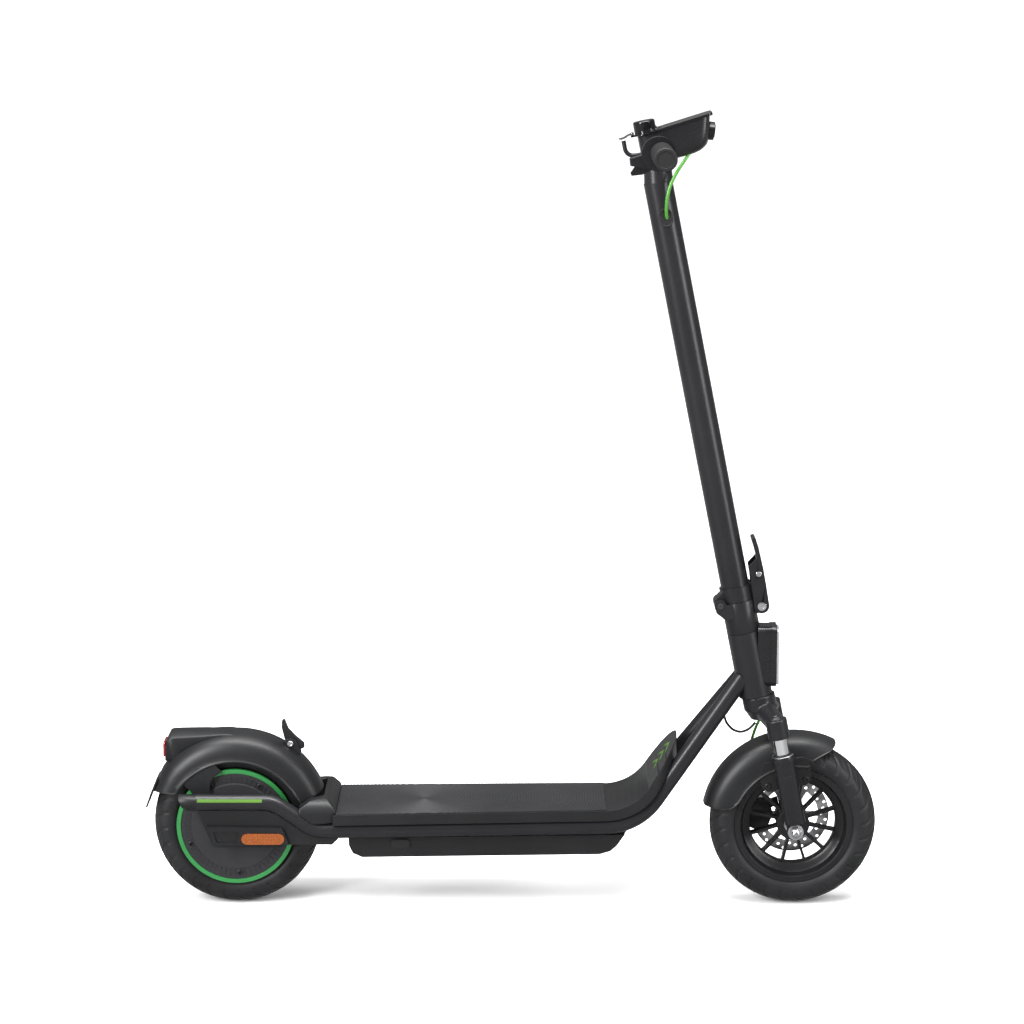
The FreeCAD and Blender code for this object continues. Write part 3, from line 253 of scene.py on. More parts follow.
pack_wrap = finish("pack wrap", (0.03, 0.06, 0.22), (0.05, 0.09, 0.3), (0.25, 0.4))
cast_black = finish("black anodised casting", (0.014, 0.014, 0.0154), (0.0245, 0.0245, 0.0266), (0.3, 0.42),
                    0.6)
soft_rubber = finish("soft black rubber", (0.0055, 0.0055, 0.006), (0.0085, 0.0085, 0.0092), (0.5, 0.62),
                     grain=1200.0, relief=0.25, shine=0.2)
dress(nodes["battery_box"], moulding, 1.5)
dress(nodes["battery_pack"], pack_wrap)
dress(nodes["controller"], cast_black)
dress(nodes["charge_cap"], soft_rubber, 0.5)


# ------------------------------------------------------------------ headlight
# An upright lamp wraps the front of the steering head: a black body, and a clear window with a
# white diffuser and a thin bright rim behind it.

lamp_body = finish("lamp body", (0.004, 0.004, 0.0045), (0.006, 0.006, 0.0065), (0.2, 0.3), relief=0.03)
dress(nodes["headlight_case"], lamp_body, 0.8)
lens_white = finish("ribbed lamp window", (0.2, 0.205, 0.215), (0.28, 0.285, 0.295), (0.08, 0.16),
                    relief=0.5, shine=0.4)
lens_tree = lens_white.node_tree
ribs = lens_tree.nodes.new("ShaderNodeTexWave")
ribs.bands_direction = "Z"
ribs.inputs["Scale"].default_value = 110.0
lens_tree.links.new(lens_tree.nodes["place"].outputs["Object"], ribs.inputs["Vector"])
lens_tree.links.new(ribs.outputs["Fac"], lens_tree.nodes["relief"].inputs["Height"])
dress(nodes["headlight_lens"], lens_white, 0.8)


# ------------------------------------------------------------------ axle covers and reflectors
# Moulded plates cover the rear axle under both arms. Each has a raised pod with a long amber
# reflector, whose face is moulded in rows of small prisms.

dress(nodes["side_covers"], moulding, 0.9)


def prism_faced(name, dark, light, cell):
    """A transparent plastic with rows of small corner prisms behind a smooth face."""
    material = finish(name, light, dark, (0.12, 0.2))
    tree = material.node_tree
    tree.nodes.remove(tree.nodes["patches"])
    cells = tree.nodes.new("ShaderNodeTexVoronoi")
    cells.feature = "F1"
    cells.inputs["Scale"].default_value = cell
    cells.inputs["Randomness"].default_value = 0.35
    shades = tree.nodes["shades"]
    shades.color_ramp.elements[0].position = 0.15
    shades.color_ramp.elements[1].position = 0.75
    tree.links.new(tree.nodes["place"].outputs["Object"], cells.inputs["Vector"])
    tree.links.new(cells.outputs["Distance"], shades.inputs["Fac"])
    tree.links.new(cells.outputs["Distance"], tree.nodes["relief"].inputs["Height"])
    tree.nodes["relief"].inputs["Strength"].default_value = 0.5
    tree.nodes["relief"].inputs["Distance"].default_value = 0.0006
    tree.nodes["Principled BSDF"].inputs["Coat Weight"].default_value = 0.6
    return material


amber = prism_faced("amber reflector", (0.0792, 0.0158, 0.0013), (0.165, 0.0429, 0.0046), 420.0)
dress(nodes["side_reflectors"], amber, 0.4)


# ------------------------------------------------------------------ rear wheel
# The hub motor is the rear rim: a turned shell, a screwed cover with short cooling fins and a
# green ring on the right face, all round a fixed core on the axle.

WHEEL_HIGH, REAR_X, FRONT_X = 127.5, -421.5, 432.5
COVER_SCREWS, COVER_CIRCLE, BOSS_FOOT, SCREW_FOOT = 5, 74.0, -35.6, -35.4
rim_paint = finish("satin black rim", (0.0047, 0.0047, 0.0053), (0.0067, 0.0067, 0.0073), (0.28, 0.36),
                   shine=0.24)
cover_paint = finish("motor cover paint", (0.012, 0.012, 0.0138), (0.0176, 0.0176, 0.0192), (0.4, 0.5),
                     grain=1500.0, relief=0.25, shine=0.18)
ring_green = finish("ring green", (0.01, 0.1, 0.0225), (0.015, 0.135, 0.031), (0.3, 0.4))
lamination = finish("motor core", (0.2, 0.2, 0.21), (0.3, 0.3, 0.31), (0.35, 0.5), 0.9)
dress(nodes["motor_shell"], rim_paint)
dress(nodes["motor_cover"], cover_paint, 0.3)
dress(nodes["rim_ring"], ring_green, 0.5)
dress(nodes["motor_stator"], lamination)

bolt_steel = finish("bright zinc", (0.52, 0.52, 0.54), (0.68, 0.68, 0.7), (0.16, 0.3), 1.0, grain=2200.0)
black_steel = finish("black oxide", (0.0098, 0.0098, 0.0105), (0.0154, 0.0154, 0.0168), (0.25, 0.38), 0.4)


def turned(name, profile, centre, axis, surface, body, steps=48):
    """A turned piece: its profile is (radius, distance along the axis) pairs, in millimetres."""
    shape = bmesh.new()
    rings = []
    for radius, along in profile:
        if radius < 1e-6:
            rings.append([shape.verts.new((0, 0, along))])
            continue
        rings.append([shape.verts.new((radius * math.cos(2 * math.pi * step / steps),
                                       radius * math.sin(2 * math.pi * step / steps), along))
                      for step in range(steps)])
    for lower, upper in zip(rings, rings[1:]):
        for step in range(steps):
            after = (step + 1) % steps
            corners = [lower[step % len(lower)], lower[after % len(lower)],
                       upper[after % len(upper)], upper[step % len(upper)]]
            shape.faces.new(list(dict.fromkeys(corners)))
    bmesh.ops.recalc_face_normals(shape, faces=shape.faces)
    for face in shape.faces:
        face.smooth = True
    piece = placed(name, shape)
    piece.data.transform(Matrix.Scale(MM, 4))
    piece.data.set_sharp_from_angle(angle=math.radians(35))
    piece.rotation_mode = "QUATERNION"
    piece.rotation_quaternion = Vector((0, 0, 1)).rotation_difference(Vector(axis))
    piece.location = Vector(centre) * MM
    dress(piece, surface)
    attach(piece, body)
    return piece


def socket_screw(radius, high):
    """The profile of a cap screw's head with its socket."""
    return [(0, high * 0.35), (radius * 0.5, high * 0.35), (radius * 0.55, high * 0.94),
            (radius * 0.62, high), (radius * 0.86, high), (radius, high * 0.8), (radius, 0), (0, 0)]


for index in range(COVER_SCREWS):
    angle = math.radians(202.5 + 360 / COVER_SCREWS * index)
    x = REAR_X + COVER_CIRCLE * math.cos(angle)
    z = WHEEL_HIGH + COVER_CIRCLE * math.sin(angle)
    turned("motor_screw_%d" % index, socket_screw(4.2, 2.0), (x, SCREW_FOOT, z), (0, -1, 0),
           black_steel, "rear_wheel")
    turned("motor_screw_boss_%d" % index, [(0, 0.5), (6.3, 0.5), (6.9, 0), (6.9, -0.4), (0, -0.4)],
           (x, BOSS_FOOT, z), (0, -1, 0), cover_paint, "rear_wheel")


# ------------------------------------------------------------------ tyres
# Ten inch road tyres of black rubber. The tread has slanted grooves that run out over both
# shoulders, two straight grooves beside the centre, and raised lines on the sidewalls.

TYRE_GROOVES, TYRE_STEPS, GROOVE_SLANT = 28, 1120, math.radians(10.5)
BEAD, SIDEWALL, SHOULDER, TYRE_BORE = (91.2, 28.6), (104.0, 33.5), (116.0, 29.0), (88.0, 24.0)
CENTRE_GROOVE, CENTRE_HALF, CENTRE_DEPTH, SLANT_DEPTH = 8.5, 1.2, 1.5, 1.7
SHORT_START, SHORT_END, SHORT_HALF, SHORT_DEPTH = 14.0, 27.0, 0.9, 0.9
SIDE_LINES, LINE_HALF, LINE_PROUD = (95.0, 99.5), 0.55, 0.35
TREAD_HALF = 32.0
SQUARE_TO_GROOVE = 0.86  # a groove leans, so it is this much nearer than the way round the tyre


def arc_through(a, b, c, count):
    """Points on the circle through three (radius, y) points, from a to c."""
    ax, ay = a
    bx, by = b
    cx, cy = c
    d = 2 * (ax * (by - cy) + bx * (cy - ay) + cx * (ay - by))
    ux = ((ax * ax + ay * ay) * (by - cy) + (bx * bx + by * by) * (cy - ay)
          + (cx * cx + cy * cy) * (ay - by)) / d
    uy = ((ax * ax + ay * ay) * (cx - bx) + (bx * bx + by * by) * (ax - cx)
          + (cx * cx + cy * cy) * (bx - ax)) / d
    radius = math.hypot(ax - ux, ay - uy)
    first, last = math.atan2(ay - uy, ax - ux), math.atan2(cy - uy, cx - ux)
    if last < first:
        last += 2 * math.pi
    return [(ux + radius * math.cos(first + (last - first) * step / count),
             uy + radius * math.sin(first + (last - first) * step / count)) for step in range(count + 1)]


def groove_cut(off, half, soft):
    """How much of its full depth a groove has at a distance from its middle line, from 0 to 1."""
    return max(0.0, min(1.0, (half - off) / soft + 0.5))


def skin_depth(turn, radius, y):
    """How far the tyre's skin is pressed in at a place on it; a raised line has a negative depth."""
    side = abs(y) / TREAD_HALF
    depth = 0.0
    if radius > SIDEWALL[0]:
        stagger = 0.0 if y < 0 else math.pi / TYRE_GROOVES
        phase = (turn + GROOVE_SLANT * side ** 1.6 + stagger) * TYRE_GROOVES / (2 * math.pi)
        spacing = 2 * math.pi / TYRE_GROOVES * radius * SQUARE_TO_GROOVE
        if abs(y) > CENTRE_GROOVE:
            off = abs(phase - round(phase)) * spacing
            depth = SLANT_DEPTH * groove_cut(off, 1.1 + 1.1 * side, 0.7)
        between = phase + 0.5
        if SHORT_START < abs(y) < SHORT_END:
            off = abs(between - round(between)) * spacing
            depth = max(depth, SHORT_DEPTH * groove_cut(off, SHORT_HALF, 0.6))
    if abs(abs(y) - CENTRE_GROOVE) < CENTRE_HALF:
        depth = max(depth, CENTRE_DEPTH)
    for line in SIDE_LINES:
        if abs(radius - line) < LINE_HALF and abs(y) > 20:
            depth = min(depth, -LINE_PROUD)
    return depth


def mirrored(point):
    """The same (radius, y) point on the tyre's right side."""
    return (point[0], -point[1])


def tyre_mesh():
    """One tyre about its own axle, with the grooves pressed into a fine grid."""
    right = arc_through(mirrored(BEAD), mirrored(SIDEWALL), mirrored(SHOULDER), 18)
    crown = arc_through(mirrored(SHOULDER), (WHEEL_HIGH, 0.0), SHOULDER, 44)
    left = arc_through(SHOULDER, SIDEWALL, BEAD, 18)
    outer = right[:-1] + crown + left[1:]
    inner = [TYRE_BORE, mirrored(TYRE_BORE)]
    rings = []
    shape = bmesh.new()
    for step in range(TYRE_STEPS):
        turn = 2 * math.pi * step / TYRE_STEPS
        ring = []
        for radius, y in outer:
            depth = skin_depth(turn, radius, y)
            reach = radius - depth
            ring.append(shape.verts.new((reach * math.cos(turn), y * (1 - 0.25 * depth / SIDEWALL[1]),
                                         reach * math.sin(turn))))
        for radius, y in inner:
            ring.append(shape.verts.new((radius * math.cos(turn), y, radius * math.sin(turn))))
        rings.append(ring)
    count = len(rings[0])
    for step in range(TYRE_STEPS):
        here, there = rings[step], rings[(step + 1) % TYRE_STEPS]
        for index in range(count):
            after = (index + 1) % count
            shape.faces.new((here[index], here[after], there[after], there[index]))
    bmesh.ops.recalc_face_normals(shape, faces=shape.faces)
    for face in shape.faces:
        face.smooth = True
    mesh = bpy.data.meshes.new("tyre")
    shape.to_mesh(mesh)
    shape.free()
    mesh.transform(Matrix.Scale(MM, 4))
    return mesh


road_rubber = finish("tyre rubber", (0.006, 0.006, 0.0066), (0.0099, 0.0099, 0.0108), (0.44, 0.54),
                     grain=500.0, relief=0.3, patch=22.0, shine=0.18)
tread = tyre_mesh()
tread.materials.append(road_rubber)
for name, x in (("front", FRONT_X), ("rear", REAR_X)):
    tyre = bpy.data.objects.new(name + "_road_tyre", tread)
    bpy.context.scene.collection.objects.link(tyre)
    tyre.location = Vector((x, 0, WHEEL_HIGH)) * MM
    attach(tyre, name + "_wheel")
    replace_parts(tyre, name + "_tyre")


# ------------------------------------------------------------------ rear mudguard
# A deep moulded mudguard with a lamp box at its tail, a rubber flap below it and a sprung
# claw on top, which turns on a bright bolt between two ears.

SIDES = ((-1, "right"), (1, "left"))


def skin_of(name, rings, surface, body, sharp=32.0):
    """A skin through rings of points in millimetres, closed around each ring and at both ends."""
    shape = bmesh.new()
    loops = [[shape.verts.new(point) for point in ring] for ring in rings]
    count = len(loops[0])
    for lower, upper in zip(loops, loops[1:]):
        for step in range(count):
            after = (step + 1) % count
            shape.faces.new((lower[step], lower[after], upper[after], upper[step]))
    shape.faces.new(loops[0])
    shape.faces.new(loops[-1])
    bmesh.ops.recalc_face_normals(shape, faces=shape.faces)
    bmesh.ops.triangulate(shape, faces=[face for face in shape.faces if len(face.verts) > 4])
    for face in shape.faces:
        face.smooth = True
    piece = placed(name, shape)
    piece.data.transform(Matrix.Scale(MM, 4))
    piece.data.set_sharp_from_angle(angle=math.radians(sharp))
    piece.data.materials.append(surface)
    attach(piece, body)
    return piece


def guard_ring(crown, half, base, lip, wall):
    """The section of a mudguard as (radius, y): one full arch from its base, cut off at a rolled lip."""
    fullness, count = 2.0 / 2.7, 26
    share = min(0.97, (lip + 4.0 - base) / (crown - base))
    start = max(0.06, math.asin(share ** (1 / fullness)))
    outside = []
    for step in range(count + 1):
        turn = start + (math.pi - 2 * start) * step / count
        reach = abs(math.cos(turn)) ** fullness
        outside.append((base + (crown - base) * math.sin(turn) ** fullness,
                        math.copysign(half * reach, -math.cos(turn))))
    inside = []
    for radius, y in reversed(outside):
        share = (radius - base) / (crown - base)
        inside.append((radius - wall * share, y * (half - wall) / half))
    edge = outside[-1][1]
    roll = [(lip, edge - wall), (lip - 0.6, edge + 0.4), (lip + 0.4, edge + 1.6), (lip + 2.2, edge + 1.9),
            (lip + 3.4, edge + 1.0)]
    left = [(radius, -y) for radius, y in roll]
    right = [(radius, y) for radius, y in reversed(roll)]
    return left + outside + right + inside


def mudguard(name, centre_x, half, base, stations, wall, surface, body):
    """A mudguard swept about its wheel; each station is an angle, a lip radius and a crown radius."""
    rings = []
    first, last = stations[0][0], stations[-1][0]
    count = int(2 * abs(last - first))
    for step in range(count + 1):
        angle = first + (last - first) * step / count
        for (start, lip_start, crown_start), (end, lip_end, crown_end) in zip(stations, stations[1:]):
            if start <= angle <= end:
                share = (angle - start) / (end - start)
                lip = lip_start + (lip_end - lip_start) * share
                crown = crown_start + (crown_end - crown_start) * share
        turn = math.radians(angle)
        ring = []
        for radius, y in guard_ring(crown, half, base, lip, wall):
            ring.append((centre_x + radius * math.cos(turn), y, WHEEL_HIGH + radius * math.sin(turn)))
        rings.append(ring)
    return skin_of(name, rings, surface, body)


guard = mudguard("rear_mudguard", REAR_X, 44.0, 103.0,
                 [(22, 106, 143.5), (30, 103.6, 143.5), (40, 103, 143.5), (136, 103, 143.5),
                  (144, 103, 141.5),
                  (149, 103, 139.6), (150, 105.5, 139.4), (153.5, 119, 138.8), (156.5, 131, 138.8),
                  (158.3, 135, 139)], 3.0, moulding, "frame")
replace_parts(guard, "rear_fender")

# Each station of the tail box is its place along the scooter, its underside and its top.
TAIL_STATIONS = [(-419, 264, 267.5), (-429, 263, 271.0), (-445, 259, 272.6), (-470, 251, 272.9),
                 (-500, 238, 272.4), (-516, 229, 271.8), (-521.5, 226, 270.5), (-525.5, 226.5, 263),
                 (-528.6, 228, 256)]
tail_rings = []
for x, low, top in TAIL_STATIONS:
    edge = min(8.0, (top - low) * 0.3)
    tail_rings.append([(x, -22.5, low), (x, -24, low + 2), (x, -24, top - edge - 1.5), (x, -23.4, top - edge),
                       (x, -22, top - edge + 1.0), (x, -12, top - 1.2), (x, -6, top - 0.3), (x, 6, top - 0.3),
                       (x, 12, top - 1.2), (x, 22, top - edge + 1.0), (x, 23.4, top - edge),
                       (x, 24, top - edge - 1.5), (x, 24, low + 2), (x, 22.5, low)])
skin_of("tail_box", tail_rings, moulding, "frame", 40.0)

STAY_OUTLINE = [(-500, 197), (-494, 190), (-488, 185), (-484.5, 178), (-459, 178), (-459, 192), (-457, 201),
                (-451, 209), (-440, 216), (-450, 226), (-478, 222), (-492, 210)]
EAR_OUTLINE = [(-350, 240), (-347, 255), (-342.5, 258.5), (-336, 259), (-330, 256), (-325, 246), (-322, 233),
               (-336, 236)]


def side_plate(name, outline, inner, outer, body):
    """An upright moulded plate between two distances across, from its outline along and up."""
    plate = prism(name, [Vector((x, inner, z)) * MM for x, z in outline],
                  [Vector((x, outer, z)) * MM for x, z in outline])
    dress(plate, moulding, 0.8)
    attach(plate, body)


for side, word in SIDES:
    side_plate("guard_stay_%s" % word, STAY_OUTLINE, side * 41.6, side * 44.4, "frame")
    side_plate("claw_ear_%s" % word, EAR_OUTLINE, side * 5.8, side * 9.0, "frame")
dress(nodes["mud_flap"], soft_rubber, 0.4)
red = prism_faced("tail lamp red", (0.1, 0.0016, 0.0016), (0.22, 0.0048, 0.004), 300.0)
dress(nodes["tail_lens"], red, 0.8)
dress(nodes["fender_hook"], moulding, 0.7)
turned("claw_bolt", socket_screw(4.6, 3.0), (-338.3, -9.0, 251.0), (0, -1, 0), bolt_steel, "frame")


# ------------------------------------------------------------------ stand
# A steel leg turns on a bracket under the left tube, and lies back along the tube when it is
# not in use. Both are painted like the frame.

dress(nodes["kickstand_bracket"], frame_paint, 0.6)
dress(nodes["kickstand"], frame_paint, 0.6)


# ------------------------------------------------------------------ fork
# A forged crown clamps two chromed tubes, which slide in black lower legs on coil springs.
# Each clamp is closed by a cap screw, and each leg by a bright edged seal.

chrome = finish("hard chrome", (0.86, 0.87, 0.89), (0.93, 0.94, 0.95), (0.04, 0.09), 1.0, grain=300.0,
                relief=0.02)
LEAN, AXIS_FOOT, LEG_AHEAD, LEG_OUT = math.radians(11.35), 439.1, 21.0, 58.0


def leaned(ahead, across, up):
    """A point given in front of the steering axis, across it and up along it, in millimetres."""
    return (AXIS_FOOT + ahead * math.cos(LEAN) - up * math.sin(LEAN), across,
            ahead * math.sin(LEAN) + up * math.cos(LEAN))


UP_STEM = (-math.sin(LEAN), 0, math.cos(LEAN))
# Each post is its place ahead and across, its foot and top, and its radius at both.
CROWN_POSTS = [(LEG_AHEAD, -LEG_OUT, 275.5, 306, 16.6, 16.6), (LEG_AHEAD, LEG_OUT, 275.5, 306, 16.6, 16.6),
               (3.5, 0, 312, 333.3, 25.4, 25.4), (5.0, 0, 297, 312, 19, 25.4)]


def forged_crown():
    """Two round tapering arms from the head down to the leg clamps, as one melted skin."""
    shape = bmesh.new()
    steps = 24
    for side in (-1, 1):
        for step in range(steps + 1):
            share = step / steps
            middle = Vector(leaned(6 + 15 * share, side * LEG_OUT * share, 312 - 15 * share)) * MM
            bmesh.ops.create_icosphere(shape, subdivisions=3, radius=(17 - 2 * share) * MM,
                                       matrix=Matrix.Translation(middle))
    for ahead, across, low, high, thick_low, thick_high in CROWN_POSTS:
        middle = Vector(leaned(ahead, across, (low + high) / 2)) * MM
        bmesh.ops.create_cone(shape, cap_ends=True, segments=64, radius1=thick_low * MM,
                              radius2=thick_high * MM, depth=(high - low) * MM,
                              matrix=Matrix.Translation(middle) @ Matrix.Rotation(-LEAN, 4, "Y"))
    piece = placed("forged_crown", shape)
    dress(piece, frame_paint)
    melt(piece, 1.1, 7)
    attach(piece, "steerer")
    return piece


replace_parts(forged_crown(), "fork_crown")
steerer = turned("steerer_tube", [(11.5, 0), (15, 0), (15, 126), (11.5, 126), (11.5, 0)],
                 leaned(0, 0, 320), UP_STEM, bearing_steel, "steerer")
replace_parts(steerer, "fork_crown")
dress(nodes["stanchions"], chrome)
dress(nodes["fork_springs"], bolt_steel)
dress(nodes["fork_legs"], frame_paint, 0.5)
for side, word in SIDES:
    turned("leg_cap_%s" % word,
           [(0, 2.2), (8.6, 2.2), (9.2, 1.6), (12.4, 1.4), (13.0, 0.6), (13.0, 0), (0, 0)],
           leaned(LEG_AHEAD, side * LEG_OUT, 306.0), UP_STEM, black_steel, "steerer")
    turned("leg_cap_screw_%s" % word, socket_screw(6.2, 4.2),
           leaned(LEG_AHEAD, side * LEG_OUT, 307.8), UP_STEM, black_steel, "steerer")
    turned("leg_seal_%s" % word,
           [(11.15, 0), (15.4, 0), (15.0, 0.9), (13.2, 1.4), (12.0, 3.4), (11.15, 3.6), (11.15, 0)],
           leaned(LEG_AHEAD, side * LEG_OUT, 247.5), UP_STEM, soft_rubber, "fork_lower")
    turned("leg_band_%s" % word, [(15.8, 0), (16.25, 0.3), (16.25, 1.0), (15.8, 1.3), (15.8, 0)],
           leaned(LEG_AHEAD, side * LEG_OUT, 216.0), UP_STEM, frame_paint, "fork_lower")
    turned("seal_edge_%s" % word, [(15.5, 0), (16.5, 0), (16.5, 0.7), (15.9, 1.1), (15.5, 0.9), (15.5, 0)],
           leaned(LEG_AHEAD, side * LEG_OUT, 247.5), UP_STEM, bolt_steel, "fork_lower")


# ------------------------------------------------------------------ front wheel
# A cast black wheel with twelve thin spokes, a drilled brake disc on its left side, and a
# cable calliper behind the left leg. The axle ends in domed nuts.

DISC_SCREWS, DISC_CIRCLE, DISC_FACE = 6, 19.0, 36.1
disc_steel = finish("brake disc steel", (0.4, 0.4, 0.41), (0.56, 0.56, 0.57), (0.25, 0.4), 1.0)
dress(nodes["front_rim"], rim_paint, 0.5)
dress(nodes["front_bearings"], bearing_steel)
dress(nodes["brake_rotor"], disc_steel)
dress(nodes["front_axle"], bolt_steel, 0.3)
dress(nodes["brake_calliper"], cast_black, 0.6)
for index in range(DISC_SCREWS):
    angle = math.radians(360 / DISC_SCREWS * index)
    x = FRONT_X + DISC_CIRCLE * math.cos(angle)
    z = WHEEL_HIGH + DISC_CIRCLE * math.sin(angle)
    turned("disc_screw_%d" % index, socket_screw(3.6, 2.0), (x, DISC_FACE, z), (0, 1, 0),
           black_steel, "front_wheel")


# ------------------------------------------------------------------ front mudguard
# A narrow moulded mudguard with a rolled lip. A plate on each side fixes it to the lower legs
# with two screws, so that it rises and falls with the wheel.

FRONT_GUARD_X = 434.0
BRACKET_SCREWS = ((449, 204.5), (391, 193.5))
BRACKET_OUTLINE = [(377, 207), (383, 190), (391, 184), (401, 185), (414, 192), (440, 193), (450, 195.5),
                   (456, 202), (456.5, 223), (462, 233), (444, 240), (384, 230)]
guard = mudguard("front_mudguard", FRONT_GUARD_X, 39.8, 95.0,
                 [(64, 136.5, 142), (65.2, 131, 142), (66.7, 126, 142), (72, 115.5, 142), (76.9, 106, 142),
                  (78.3, 98, 142), (80, 95.4, 142), (84, 95, 142), (152, 93, 142), (156, 94, 142),
                  (160, 97, 142), (163.2, 101, 142), (165.5, 112, 142), (167.2, 125, 142),
                  (168, 136, 142)], 2.6, moulding, "fork_lower")
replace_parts(guard, "front_fender")
for side, word in SIDES:
    side_plate("guard_bracket_%s" % word, BRACKET_OUTLINE, side * 37.2, side * 40.2, "fork_lower")
    for index, (x, z) in enumerate(BRACKET_SCREWS):
        turned("fender_screw_%s_%d" % (word, index), socket_screw(4.4, 2.2), (x, side * 40.0, z),
               (0, side, 0), black_steel, "fork_lower")


# ------------------------------------------------------------------ folding joint
# The lower half is fixed to the steerer. The stem turns back on a hinge pin, and a channel
# shaped lever with a short link holds it upright.

dress(nodes["fold_base"], frame_paint, 1.0)
dress(nodes["fold_pins"], bolt_steel, 0.4)
dress(nodes["fold_lever"], frame_paint, 1.0)
dress(nodes["latch_link"], bolt_steel, 0.4)
for side, word in SIDES:
    turned("hinge_pin_cap_%s" % word, [(0, 0.9), (4.2, 0.9), (4.8, 0.4), (4.8, 0), (0, 0)],
           leaned(-28, side * 24.4, 485), (0, side, 0), cover_paint, "steerer")
    turned("lever_screw_%s" % word, socket_screw(6.4, 2.0), leaned(33.7, side * 18.2, 471.6), (0, side, 0),
           bolt_steel, "steerer")
    turned("link_screw_%s" % word, socket_screw(4.0, 1.6), leaned(38.1, side * 16.2, 521.5), (0, side, 0),
           bolt_steel, "latch")


# ------------------------------------------------------------------ stem
# A long drawn aluminium tube with a welded collar at its foot and a tapering neck on top. The
# brake cable goes in at an oval slot edged with rubber.

dress(nodes["stem_tube"], frame_paint)
dress(nodes["stem_neck"], frame_paint)
turned("neck_seam", [(21.2, 0), (21.95, 0), (21.95, 1.2), (21.2, 1.2), (21.2, 0)],
       leaned(0.5, 0, 1129.4), UP_STEM, soft_rubber, "stem", 72)

STEM_RADIUS, SLOT_AHEAD, SLOT_UP, SLOT_ROUND, SLOT_HALF_RUN, SLOT_STEPS = 21.5, 1.3, 1077.6, 7.5, 4.0, 40
# Each pair is how far the rubber stands out of the tube there, and how far outside the slot.
GROMMET_SECTION = [(-3.2, 0.0), (0.3, 0.0), (1.0, 0.7), (1.0, 1.8), (0.3, 2.4), (-0.3, 2.4), (-0.3, -1.2),
                   (-0.3, -1.4)]
grommet_rings = []
for proud, grow in GROMMET_SECTION:
    ring = []
    for step in range(SLOT_STEPS):
        turn = 2 * math.pi * step / SLOT_STEPS
        ahead = SLOT_AHEAD + (SLOT_ROUND + grow) * math.cos(turn)
        up = SLOT_UP + math.copysign(SLOT_HALF_RUN, math.sin(turn)) + (SLOT_ROUND + grow) * math.sin(turn)
        ring.append(leaned(ahead, -math.sqrt(STEM_RADIUS ** 2 - ahead ** 2) - proud, up))
    grommet_rings.append(ring)
skin_of("cable_grommet", grommet_rings, soft_rubber, "stem")


# ------------------------------------------------------------------ control head
# A moulded housing clamps the bar. A glossy plate with the display covers its top, and the
# power button sits in it.

head_plastic = finish("head plastic", (0.004, 0.004, 0.0045), (0.006, 0.006, 0.0067), (0.22, 0.3),
                      grain=1500.0)
gloss_black = finish("glossy black", (0.0032, 0.0032, 0.0036), (0.0048, 0.0048, 0.0056), (0.06, 0.12),
                     grain=200.0, relief=0.01)
HEAD_FOOT, HEAD_TALL, TILT_FOOT, TILT_TALL, TOP_TILT = 1159.0, 41.0, 1165.0, 35.2, 12.0 / 113.0
# Each level is its height up the stem, its rear and front ends, and half its width.
HEAD_LEVELS = [(1159.2, -10, 30, 9), (1159.6, -12, 38, 15), (1160.6, -14, 51, 20), (1162, -15, 62, 23),
               (1164, -16, 69.5, 25), (1166.5, -16.4, 75.5, 26.2), (1170, -16.8, 81, 27.6),
               (1173, -17, 83.4, 28.3), (1176, -17, 85, 28.8), (1180, -17, 86.6, 29.3), (1184, -17, 88, 29.6),
               (1188, -17, 89, 29.8), (1192, -17, 90, 30), (1196, -17, 91.2, 30), (1200.2, -17, 92.6, 30)]
head_rings = []
for up, back, front, half in HEAD_LEVELS:
    tilt = TOP_TILT * max(0.0, (up - TILT_FOOT) / TILT_TALL)
    square = 2.0 / (3.2 + 2.4 * (up - HEAD_FOOT) / HEAD_TALL)
    ring = []
    for step in range(72):
        turn = 2 * math.pi * step / 72
        along = math.copysign(abs(math.cos(turn)) ** square, math.cos(turn))
        across = math.copysign(abs(math.sin(turn)) ** square, math.sin(turn))
        ahead = along * (front - back) / 2 + (front + back) / 2
        ring.append(leaned(ahead, across * half, up + tilt * (ahead + 17)))
    head_rings.append(ring)
head = skin_of("control_head", head_rings, head_plastic, "stem", 50.0)
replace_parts(head, "head_housing")
puck_axis = Vector(leaned(12.5, 0, -4)) - Vector(leaned(0, 0, 0))
turned("front_puck", [(0, 10.0), (9.4, 10.0), (10.2, 9.2), (12.6, 9.0), (13.5, 8.2), (13.6, 1.0), (12.8, 0.1),
                      (8.6, 0), (8.4, -9), (0, -9)],
       leaned(86.5, 0, 1189.5), puck_axis, head_plastic, "stem")
dress(nodes["display_panel"], gloss_black, 1.2)
dress(nodes["power_button"], gloss_black, 0.5)


# ------------------------------------------------------------------ handlebar and controls
# A black bar with knurled rubber grips. The thumb throttle is on the right, and the brake
# lever and the bell are on the left.

BAR_AHEAD, BAR_UP, GRIP_INNER = 9.0, 1181.5, 150.0
dress(nodes["handlebar"], frame_paint)


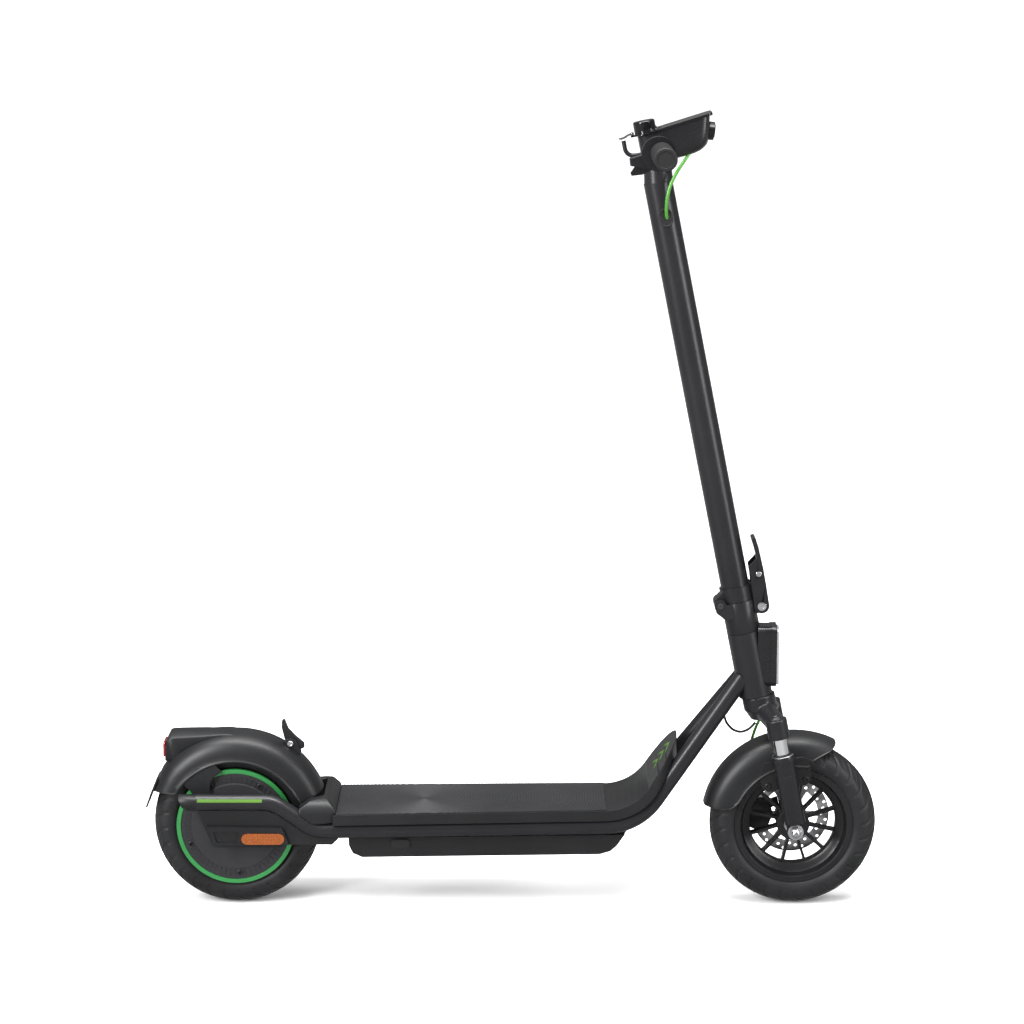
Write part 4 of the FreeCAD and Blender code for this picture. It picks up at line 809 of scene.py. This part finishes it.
def knurled_grip(name, side):
    """A round rubber grip with a diamond knurl between two plain collars and a flat outer end."""
    length, radius, bore, collar, around = 120.0, 16.1, 11.3, 16.5, 84
    knurl_rows, knurl_pitch, knurl_high = 62, 1.7, 0.4
    stations = [(0, bore), (0, 15.6), (1.0, collar), (5.0, collar), (6.0, 15.9)]
    stations += [(7.0 + knurl_pitch * index, radius) for index in range(knurl_rows)]
    stations += [(113.4, 15.9), (114.2, collar), (118.6, collar), (length, 15.2), (length, 12.0),
                 (length - 0.8, 11.4)]
    rings = []
    for index, (along, reach) in enumerate(stations):
        ring = []
        for step in range(around):
            knurl = knurl_high if reach == radius and (step + index) % 2 else 0.0
            angle = 2 * math.pi * step / around
            ring.append(leaned(BAR_AHEAD + (reach + knurl) * math.cos(angle), side * (GRIP_INNER + along),
                               BAR_UP + (reach + knurl) * math.sin(angle)))
        rings.append(ring)
    return skin_of(name, rings, soft_rubber, "stem", 42.0)


for side, word in SIDES:
    grip = knurled_grip("grip_%s" % word, side)
    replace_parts(grip, "grips")
dress(nodes["throttle_body"], head_plastic, 0.6)
dress(nodes["throttle_paddle"], head_plastic, 0.8)
dress(nodes["brake_perch"], frame_paint, 0.8)
dress(nodes["brake_lever"], frame_paint, 1.0)
dress(nodes["bell_body"], gloss_black)
dress(nodes["bell_striker"], bolt_steel, 0.3)
dress(nodes["bag_hook"], frame_paint)


# ------------------------------------------------------------------ cables
# The brake's cable has a bright green jacket. It leaves the head, goes down inside the stem
# and comes out under the crown. The lamp's black lead hangs in a short loop.

cable_green = finish("green cable jacket", (0.0245, 0.1155, 0.0087), (0.035, 0.147, 0.014), (0.2, 0.3),
                     shine=0.5)
dress(nodes["brake_cable"], cable_green)
dress(nodes["lower_cable"], cable_green)
dress(nodes["loop_cable"], soft_rubber)


# ------------------------------------------------------------------ floor, light and camera
# A plain pale studio floor under soft overhead light, with an upright softbox on each side of a
# long lens that looks slightly down on the scooter's right side.

floor_mesh = bpy.data.meshes.new("floor")
floor_mesh.from_pydata([(-80, -60, 0), (80, -60, 0), (80, 120, 0), (-80, 120, 0)], [], [(0, 1, 2, 3)])
floor = bpy.data.objects.new("floor", floor_mesh)
bpy.context.scene.collection.objects.link(floor)
dress(floor, finish("studio floor", (0.9, 0.9, 0.9), (0.92, 0.92, 0.92), (0.85, 0.9), relief=0.0, patch=1.0))
floor.visible_glossy = False

world = bpy.data.worlds.new("studio")
world.use_nodes = True
studio = world.node_tree
direction = studio.nodes.new("ShaderNodeTexCoord")
height = studio.nodes.new("ShaderNodeSeparateXYZ")
sky = studio.nodes.new("ShaderNodeValToRGB")
stops = sky.color_ramp.elements
stops[0].color = (0.4, 0.4, 0.4, 1.0)
for position, level in ((0.4, 0.7), (0.5, 0.22), (0.7, 0.25)):
    stops.new(position).color = (level, level, level, 1.0)
span = studio.nodes.new("ShaderNodeMapRange")
span.inputs["From Min"].default_value = -1.0
studio.links.new(direction.outputs["Generated"], height.inputs["Vector"])
studio.links.new(height.outputs["Z"], span.inputs["Value"])
studio.links.new(span.outputs["Result"], sky.inputs["Fac"])
studio.links.new(sky.outputs["Color"], studio.nodes["Background"].inputs["Color"])
bpy.context.scene.world = world


def lamp(name, kind, energy, place, target, size):
    """One studio lamp aimed at a point."""
    data = bpy.data.lights.new(name, kind)
    data.energy = energy
    if kind == "AREA":
        data.shape = "RECTANGLE"
        data.size, data.size_y = size
    else:
        data.angle = size
    light = bpy.data.objects.new(name, data)
    light.location = place
    aim = Vector(target) - Vector(place)
    light.rotation_euler = aim.to_track_quat("-Z", "Y").to_euler()
    bpy.context.scene.collection.objects.link(light)


lamp("sun", "SUN", 2.5, (0, 0, 5), (0, 0.3, 0), math.radians(50))
lamp("long_softbox", "AREA", 260.0, (-2.4, -2.4, 1.9), (0, 0, 0.6), (0.55, 2.6))
lamp("side_softbox", "AREA", 90.0, (2.8, -1.7, 1.5), (0.1, 0, 0.6), (0.9, 2.4))
lamp("top_softbox", "AREA", 170.0, (-0.1, -0.7, 3.0), (0, 0, 0.3), (3.0, 0.7))

camera_data = bpy.data.cameras.new("camera")
camera_data.sensor_width = 36.0
camera_data.lens = 103.6
camera_data.clip_end = 500.0
camera = bpy.data.objects.new("camera", camera_data)
camera.location = (0.0198, -4.366, 1.465)
camera.rotation_euler = (math.radians(78.93), 0, math.radians(0.245))
bpy.context.scene.collection.objects.link(camera)
bpy.context.scene.camera = camera
bpy.context.scene.view_settings.view_transform = "Standard"
